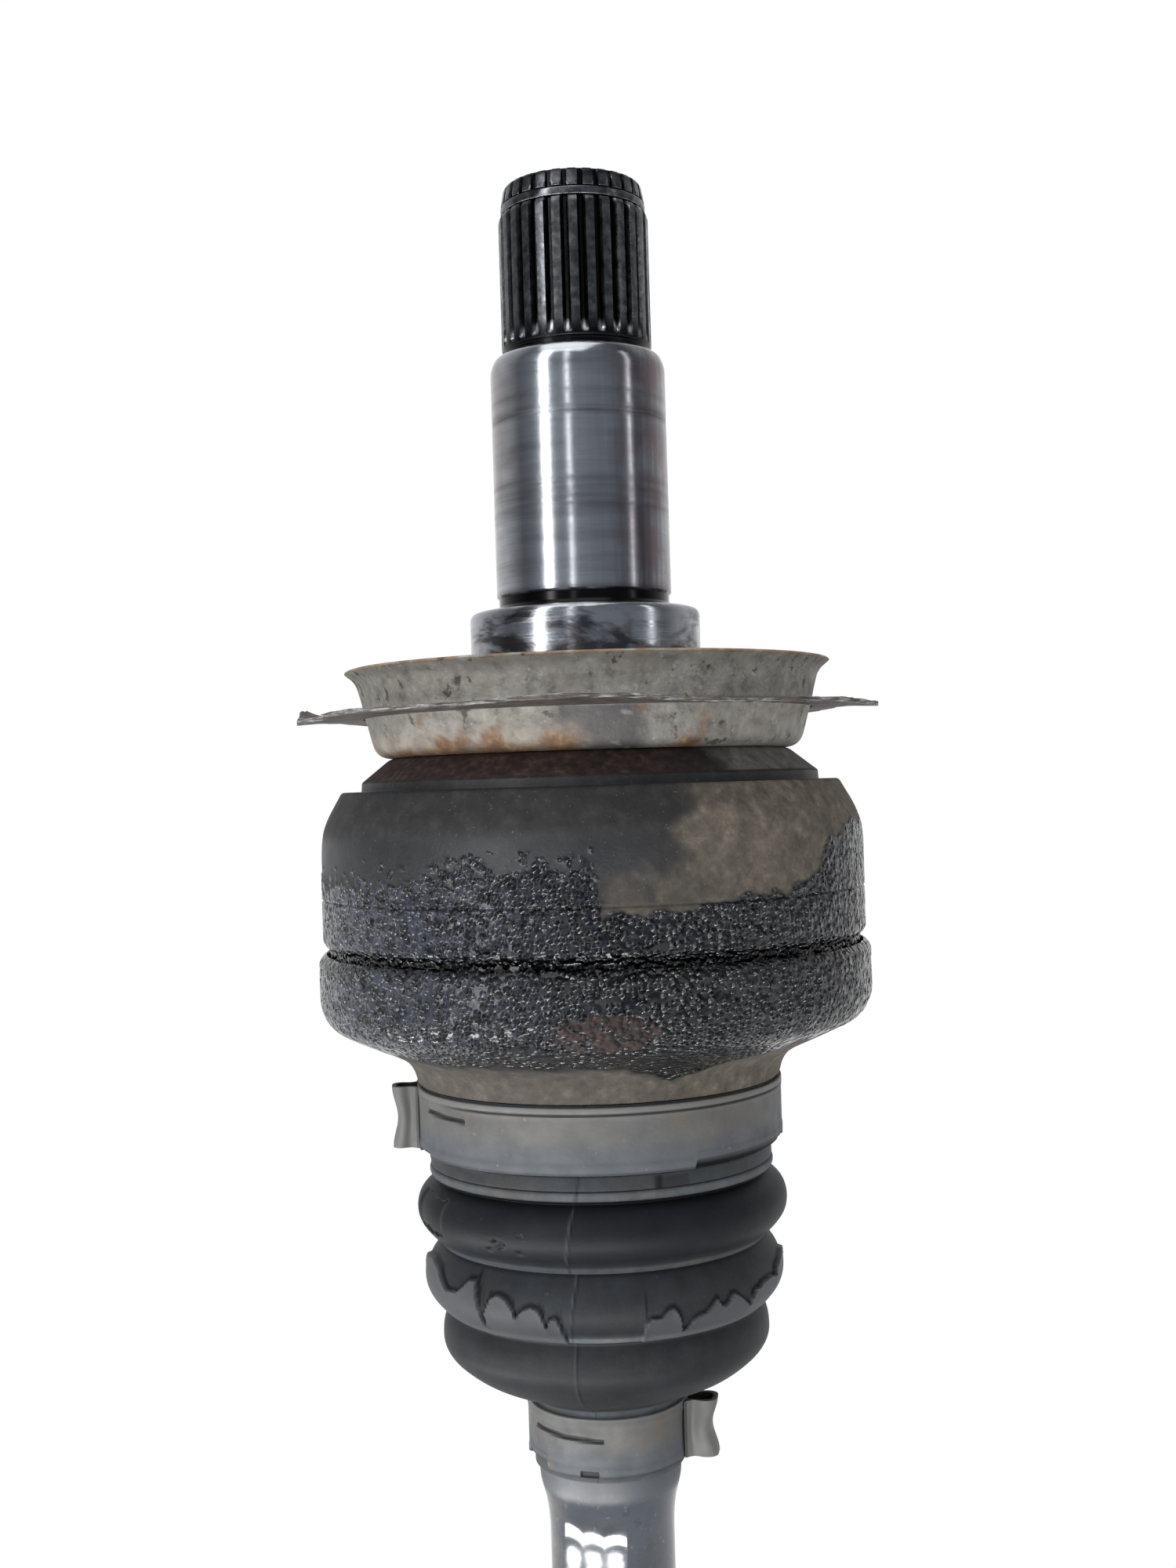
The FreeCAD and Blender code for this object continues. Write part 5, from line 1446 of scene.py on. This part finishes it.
            # Dust in the valleys, on the lip and at the small cuff
            dust = 0.015 + 0.065 * smooth(dip_a - z) + 0.02 * smooth((angle - 30) / 40)
            for level, most in ((dip_a, 0.5), (dip_b, 1.0)):
                over = smooth((z - level + 0.10) / 0.1)
                above = smooth((level + 4.2 - z) / 3.6) ** 2 * over
                core = smooth((level + 1.6 - z) / 0.9) * over
                dust = np.maximum(dust, most * (0.35 * above + 0.65 * core))
            strip = smooth((z - can_end + 2.9) / 0.2) * 0.22
            pale_lip = smooth((z - lip) / 0.3) * smooth((can_end - 2.9 - z) / 0.2) * 0.52
            tail = smooth((small_top + 1.2 - z) / 0.8) * 0.5
            for patch in (strip, pale_lip, tail, parting * 0.22 * (z < lip)):
                dust = np.maximum(dust, patch)

            # Painted shade in the groove under the can's end, and painted shadow under the lip
            groove = smooth((z - can_end - 0.1) / 0.2) * (z < can_end + 1.4)
            shadow_under_lip = smooth((lip - 0.1 - z) / 0.3)
            shadow_under_lip = shadow_under_lip * smooth((z - lip + 2.2) / 1.6)
            dents = lattice_noise(spot, 9, 2) - 0.5
            moved = (r + skin * b.flake + curl * 0.45 - worn * b.flake - pits * 0.3
                     + parting * 0.10 - pocket * 0.5 + 0.10 * dents)
            # Painted shade and wear: the torn edge, worn spots, pits, the parting line's shadow, pockets,
            # the groove and under the lip
            torn = outline * 0.95
            for mark in (worn * 0.5 + pits, shadow * 0.6, pocket * 0.9, groove, shadow_under_lip * 0.9):
                torn = np.maximum(torn, mark)
            values = {"dust": np.clip(dust, 0, 1), "torn": np.clip(torn * (1 - skin * 0.9), 0, 1),
                      "skin": np.clip(skin * 0.72, 0, 1)}
            limit = np.where(z > can_end, b.cuff_radius - 0.02, b.crest_a)
            return np.minimum(moved, limit), turn, z, values

        borders = (top, lip, dip_a - 6.5, dip_b - 2.5, small_top + 0.8, bottom)
        boot_zones("inner_boot", line, shape, borders, (
            ("cuff", b.wall, INNER_BOOT_COLUMNS, "inner_housing"),
            ("first_fold", b.wall, INNER_BOOT_COLUMNS, "inner_housing", "inner_cage_set"),
            ("middle_fold", b.wall, INNER_BOOT_COLUMNS, "inner_cage_set", "inner_boot_ring"),
            ("last_fold", b.wall, INNER_BOOT_COLUMNS, "inner_boot_ring", "shaft"),
            ("small_cuff", 0.8, SMALL_CUFF_COLUMNS, "shaft"),
        ))
        return {"FINISHED"}


class HALFSHAFT_OT_outer_boot(bpy.types.Operator):
    """Make the bellows boot of the outer joint, in stretches that each cross one joint."""

    bl_idname = "halfshaft.outer_boot"
    bl_label = "Outer boot"

    def execute(self, context):
        o = sizes("outer")
        b = sizes("boot")
        centre = JOINT_HEIGHT["outer_tilt_x"]
        mouth = centre + o.mouth
        cuff_low = low("outer_boot")
        top = high("outer_boot")
        small = mouth + o.boot_length
        pitch = o.boot_length / (o.folds + 0.7)
        seat = b.small_radius - 0.05
        corners = [(seat, top), (seat, small + 0.2, 0.5), (17.0, small - 0.6, 0.8)]
        for index in range(o.folds - 1, -1, -1):
            crest = o.fold_top - o.fold_step * index
            z = small - pitch * (o.folds - index) + pitch * 0.1
            if index < o.folds - 1:
                corners.append((crest - o.fold_depth, z + pitch * 0.5, 2.2))
            corners.append((crest, z + pitch * 0.10, 2.6))
            corners.append((crest, z - pitch * 0.14, 2.6))
        cuff = o.bell_radius + o.cuff_wall - 0.05
        corners += [(o.fold_top - 2, mouth + 4.4, 1.5), (cuff - 2, mouth + 2.6, 1.5),
                    (cuff, mouth + 0.6, 0.8), (cuff, cuff_low)]
        line = profile(corners, spacing=0.85)

        def shape(r, turn, z):
            spot = place_of(r, turn, z)
            angle = front_angle(turn)
            parting = np.exp(-(((np.abs(angle) - 90) / 0.35) ** 2))
            wear = smooth((layered_noise(spot, 16, 21, 3) - 0.45) / 0.3)
            dust = np.clip(0.18 + 0.35 * wear, 0, 1)
            moved = r + 0.15 * parting - 0.15 + 0.12 * (lattice_noise(spot, 9, 2) - 0.5)
            zero = np.zeros_like(r)
            return moved, turn, z, {"dust": dust, "torn": zero, "skin": zero}

        middle = mouth + o.boot_length * 0.37
        borders = (top, small - 1.0, middle, mouth + 2.6, cuff_low)
        boot_zones("outer_boot", line, shape, borders, (
            ("small_cuff", 0.8, OUTER_BOOT_COLUMNS, "shaft"),
            ("upper_folds", 2.4, OUTER_BOOT_COLUMNS, "shaft", "outer_cage_set"),
            ("lower_folds", 2.4, OUTER_BOOT_COLUMNS, "outer_cage_set", "outer_housing"),
            ("cuff", 3.0, OUTER_BOOT_COLUMNS, "outer_housing"),
        ))
        return {"FINISHED"}


# Bar and outer housing


class HALFSHAFT_OT_bar(bpy.types.Operator):
    """Make the bar with its boot seats."""

    bl_idname = "halfshaft.bar"
    bl_label = "Bar"

    def execute(self, context):
        b = sizes("bar")
        top = high("shaft_bar")
        bottom = low("shaft_bar")
        inner_stop = low("inner_race")
        outer_stop = high("outer_race")
        seat_top = low("inner_boot") + sizes("boot").cuff_length + b.seat_rise
        seat_low = low("inner_boot") - b.seat_rise
        other_top = high("outer_boot") + b.seat_rise
        other_low = high("outer_boot") - sizes("boot").cuff_length - b.seat_rise
        line = profile([
            (0, top), (b.end_radius - 1.2, top, 0.4), (b.end_radius - 1, top - 1.0),
            (b.end_radius - 1, high("inner_race") - 0.05), (b.end_radius, high("inner_race") - 0.05),
            (b.end_radius, inner_stop), (b.seat, inner_stop, 0.5), (b.seat, inner_stop - 3, 1.5),
            (b.radius, inner_stop - 8, 4), (b.radius, seat_top + b.cone, 4), (b.seat, seat_top, 1.5),
            (b.seat, seat_low, 1.5), (b.radius, seat_low - b.cone, 5), (b.radius, other_top + b.cone, 5),
            (b.seat, other_top, 1.5), (b.seat, other_low, 1.5), (b.radius, other_low - b.cone, 4),
            (b.radius, outer_stop + 6, 2), (b.end_radius + 0.4, outer_stop + 4, 1),
            (b.end_radius + 0.4, outer_stop), (b.end_radius, outer_stop),
            (b.end_radius, low("outer_race") + 0.05), (b.end_radius - 1, low("outer_race") + 0.05),
            (b.end_radius - 1, bottom + 0.7), (b.end_radius - 2, bottom), (0, bottom),
        ], spacing=1.8)

        def shape(r, turn, z):
            spot = place_of(r, turn, z)
            dust = smooth((r - b.radius - 0.9) / 0.9)
            dust = dust * (0.6 + 0.4 * layered_noise(spot, 5, 4))
            soft = 0.03 * (lattice_noise(spot, 14, 6) - 0.6)
            plain = (z < inner_stop - 9) & (z > outer_stop + 7)
            return r + soft * plain, turn, z, {"dust": dust}

        bar = turned("bar", line, columns=120, shape=shape)
        dress(bar, "bar", "shaft", "bar_paint", "shaft_bar")
        return {"FINISHED"}


class HALFSHAFT_OT_outer_housing(bpy.types.Operator):
    """Make the bell of the outer joint with its splined and threaded stub."""

    bl_idname = "halfshaft.outer_housing"
    bl_label = "Outer housing"

    def execute(self, context):
        o = sizes("outer")
        centre = JOINT_HEIGHT["outer_tilt_x"]
        mouth = centre + o.mouth
        skirt = mouth - o.skirt
        face = centre - o.face_drop
        seat = face - o.seat_length
        spline_end = seat - o.spline_length
        end = low("outer_joint_housing")
        bore = 36.6
        line = profile([
            (bore - 3, mouth, 0.5), (o.bell_radius, mouth, 1.2), (o.bell_radius, skirt, 4),
            (39.5, skirt - 9, 4), (o.neck + 6, centre - o.dome_drop - 6.5, 4),
            (o.neck, centre - o.dome_drop - 11.5, 3), (o.neck, face, 0.8), (o.seat, face),
            (o.seat, seat, 1.4), (o.spline_radius, seat, 0.4), (o.spline_radius, spline_end, 1),
            (10.6, spline_end), (10.6, spline_end - 3),
        ], spacing=1.2)
        thread = profile([
            (o.thread_radius, spline_end - 4.4), (o.thread_radius, end + 1.6), (o.thread_radius - 1.6, end),
        ], spacing=0.4)
        hollow = profile([
            (4, end), (0.8, end + 6.5), (0.8, centre - bore + 2), (bore * 0.5, centre - bore * 0.86, 8),
            (bore, centre - bore * 0.3, 12), (bore, centre + 4),
        ], spacing=2.0)

        def shape(r, turn, z):
            tooth = tooth_height(turn, o.spline_teeth)
            in_spline = smooth((z - spline_end) / 0.5) * smooth((seat - 1.0 - z) / 4)
            cut = o.spline_radius - o.spline_depth * (1 - tooth) * np.sqrt(in_spline)
            on_spline = (r > 12.5) & (z < seat + 0.1) & (z > spline_end - 0.1)
            moved = np.where(on_spline, np.minimum(r, cut), r)
            phase = (z / o.thread_pitch + turn / TURN) % 1
            ridge = np.abs(phase - 0.5) * 2
            threaded = smooth((spline_end - 4.4 - z) / 0.6)
            threaded = threaded * smooth((z - end - 0.3) / 0.8)
            on_thread = (r > 10.2) & (z < spline_end - 4)
            moved = np.where(on_thread, moved - 0.85 * ridge * threaded, moved)
            spot = place_of(r, turn, z)
            cast = smooth((r - 24) / 3) * smooth((mouth - 6 - z) / 4)
            moved = moved + cast * 0.2 * (layered_noise(spot, 3, 7, 2) - 0.8)
            bright = np.clip(smooth(face + 0.4 - z) + smooth(z - mouth + 1.2), 0, 1)
            return moved, turn, z, {"bright": bright}

        whole = joined(line, thread, hollow)
        bell = turned("outer_bell_and_stub", whole, o.spline_teeth * 8, shape, closed=True, sharp=30)
        dress(bell, "forged", "outer_housing", "forged_steel", "outer_joint_housing")
        return {"FINISHED"}


class HALFSHAFT_OT_inner_parts(bpy.types.Operator):
    """Give the races, cages, balls, rings and seal their finishes."""

    bl_idname = "halfshaft.inner_parts"
    bl_label = "Inner parts"

    def execute(self, context):
        kinds = {
            "bearing": ("inner_cage", "inner_balls", "inner_race",
                        "outer_cage", "outer_balls", "outer_race"),
            "ring": ("inner_race_circlip", "outer_race_circlip", "ball_stop_ring"),
            "seal": ("can_seal_ring",),
        }
        for kind, nodes in kinds.items():
            for node in nodes:
                for place in frame["nodes"][node].material_slots:
                    place.material = finish(kind)
        return {"FINISHED"}


# Stage


LAMPS = {
    "window_left": ((-0.85, -0.85, 0.25), (0.17, 1.6), 7.4),
    "window_gap": ((-0.29, -1.17, 0.25), (0.035, 1.6), 1.05),
    "window_right": ((1.12, -0.45, 0.2), (0.07, 1.4), 1.1),
    "soft_top": ((-0.2, -0.5, 1.2), (1.2, 1.2), 6.0),
}
LAMP_AIM = (0, 0, -0.03)
# Lamps low round the bar that are only mirrored in it: degrees from the front, distance and width,
# and for each row its height above the origin, its own height and its power
SHEEN_ANGLES = (-78, -37, 4)
SHEEN_DISTANCE = 0.5
SHEEN_WIDTH = 0.385
SHEEN_ROWS = ((-0.396, 0.013, 0.6), (-0.462, 0.05, 1.9))
FLOOR_SIDE = 3000


def area_lamp(name, place, aim, size, power):
    """A rectangular lamp that faces its aim."""
    lamp = bpy.data.lights.new(name, "AREA")
    lamp.shape = "RECTANGLE"
    lamp.size, lamp.size_y = size
    lamp.energy = power
    item = bpy.data.objects.new(name, lamp)
    item.location = place
    direction = Vector(np.subtract(aim, place))
    item.rotation_euler = direction.to_track_quat("-Z", "Y").to_euler()
    bpy.context.scene.collection.objects.link(item)
    return item


def studio_world(ambient):
    """White for the camera; softer grey for light, and a graded room for reflections."""
    world = bpy.data.worlds.new("studio")
    bpy.context.scene.world = world
    t = Tree(world)
    path = t.add("LightPath").outputs
    back = t.between(t.axes("Generated")["Y"], -1, 1)
    room = t.ramp(back, (0.0, (0.25, 0.268, 0.295)), (0.45, (0.12, 0.125, 0.14)), (1.0, 0.95))
    light = t.mix(path["Is Glossy Ray"], (ambient, ambient, ambient * 1.02), room)
    seen = t.combine("MAXIMUM", path["Is Camera Ray"], path["Is Transmission Ray"])
    t.fill(t.nodes["Background"], Color=t.mix(seen, light, 1.0))


def pale_floor():
    """Pale floor that takes the shaft's shadow and turns to white, for the camera, away from it."""
    f = Finish("pale_floor")
    f.set(Base_Color=f.clouds(3, 2, (0.3, 0.86), (0.7, 0.9)), Roughness=0.7)
    path = f.add("LightPath").outputs
    seen = f.combine("MAXIMUM", path["Is Camera Ray"], path["Is Glossy Ray"])
    seen = f.combine("MAXIMUM", seen, path["Is Transmission Ray"])
    far = f.nodes.new("ShaderNodeVectorMath")
    far.operation = "LENGTH"
    f.put(far.inputs[0], f.stretch(1, 1, 0))
    share = f.times(seen, f.between(far.outputs["Value"], 0.30, 0.70))
    both = f.add("MixShader", Fac=share)
    f.put(both.inputs[1], f.shader.outputs["BSDF"])
    f.put(both.inputs[2], f.add("Emission", Color=1.0, Strength=1).outputs["Emission"])
    f.fill(f.nodes["Material Output"], Surface=both.outputs["Shader"])
    return f.material


class HALFSHAFT_OT_stage(bpy.types.Operator):
    """Make the floor, the lamps, the surrounding light and the camera."""

    bl_idname = "halfshaft.stage"
    bl_label = "Stage"

    def execute(self, context):
        s = look().studio
        scene = context.scene
        scene.view_settings.view_transform = "Standard"
        studio_world(s.ambient)
        floor_z = low("outer_joint_housing") - 0.5
        far = FLOOR_SIDE
        corners = [(-far, -far, floor_z), (far, -far, floor_z), (far, far, floor_z), (-far, far, floor_z)]
        floor = mesh_object("floor", corners, [[[0, 1, 2, 3]]])
        floor.data.materials.append(pale_floor())
        for name, (place, size, power) in LAMPS.items():
            area_lamp(name, place, LAMP_AIM, size, power)
        for index, around in enumerate(SHEEN_ANGLES):
            turn = math.radians(around)
            for row, (height, tall, power) in enumerate(SHEEN_ROWS):
                place = (SHEEN_DISTANCE * math.sin(turn), -SHEEN_DISTANCE * math.cos(turn), height)
                size = (SHEEN_WIDTH, tall)
                sheen = area_lamp(f"low_sheen_{index}_{row}", place, (0, 0, height), size, power)
                sheen.rotation_euler = (math.pi / 2, 0, turn)
                sheen.visible_diffuse = False
                sheen.visible_camera = False
        camera = bpy.data.cameras.new("camera")
        camera.lens = s.lens
        camera.sensor_width = 36
        camera.clip_start = 0.01
        eye = bpy.data.objects.new("camera", camera)
        eye.location = (s.side, -s.distance, s.height)
        eye.rotation_euler = (math.pi / 2, s.lean, 0)
        scene.collection.objects.link(eye)
        scene.camera = eye
        return {"FINISHED"}


class HALFSHAFT_PT_panel(bpy.types.Panel):
    """Lists the pieces in the sidebar."""

    bl_idname = "HALFSHAFT_PT_panel"
    bl_label = "Half shaft"
    bl_space_type = "VIEW_3D"
    bl_region_type = "UI"
    bl_category = "Half shaft"

    def draw(self, context):
        for operator in OPERATORS:
            self.layout.operator(operator.bl_idname)


GROUPS = (
    StubSizes, ShieldSizes, DrumSizes, BootSizes, BarSizes, OuterSizes, Colours, StudioSettings, HalfShaft,
)
OPERATORS = (
    HALFSHAFT_OT_stage, HALFSHAFT_OT_splined_end, HALFSHAFT_OT_seal_journal, HALFSHAFT_OT_dust_shield,
    HALFSHAFT_OT_joint_drum, HALFSHAFT_OT_clamps, HALFSHAFT_OT_inner_boot, HALFSHAFT_OT_bar,
    HALFSHAFT_OT_outer_boot, HALFSHAFT_OT_outer_housing, HALFSHAFT_OT_inner_parts,
)


def register():
    """Register the settings, the operators and the panel."""
    for group in (*GROUPS, *OPERATORS, HALFSHAFT_PT_panel):
        bpy.utils.register_class(group)
    bpy.types.Scene.half_shaft = bpy.props.PointerProperty(type=HalfShaft)


def unregister():
    """Remove them again."""
    del bpy.types.Scene.half_shaft
    for group in reversed((*GROUPS, *OPERATORS, HALFSHAFT_PT_panel)):
        bpy.utils.unregister_class(group)


def main():
    """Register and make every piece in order."""
    register()
    for operator in OPERATORS:
        group, word = operator.bl_idname.split(".")
        getattr(getattr(bpy.ops, group), word)()


if __name__ == "__main__":
    main()
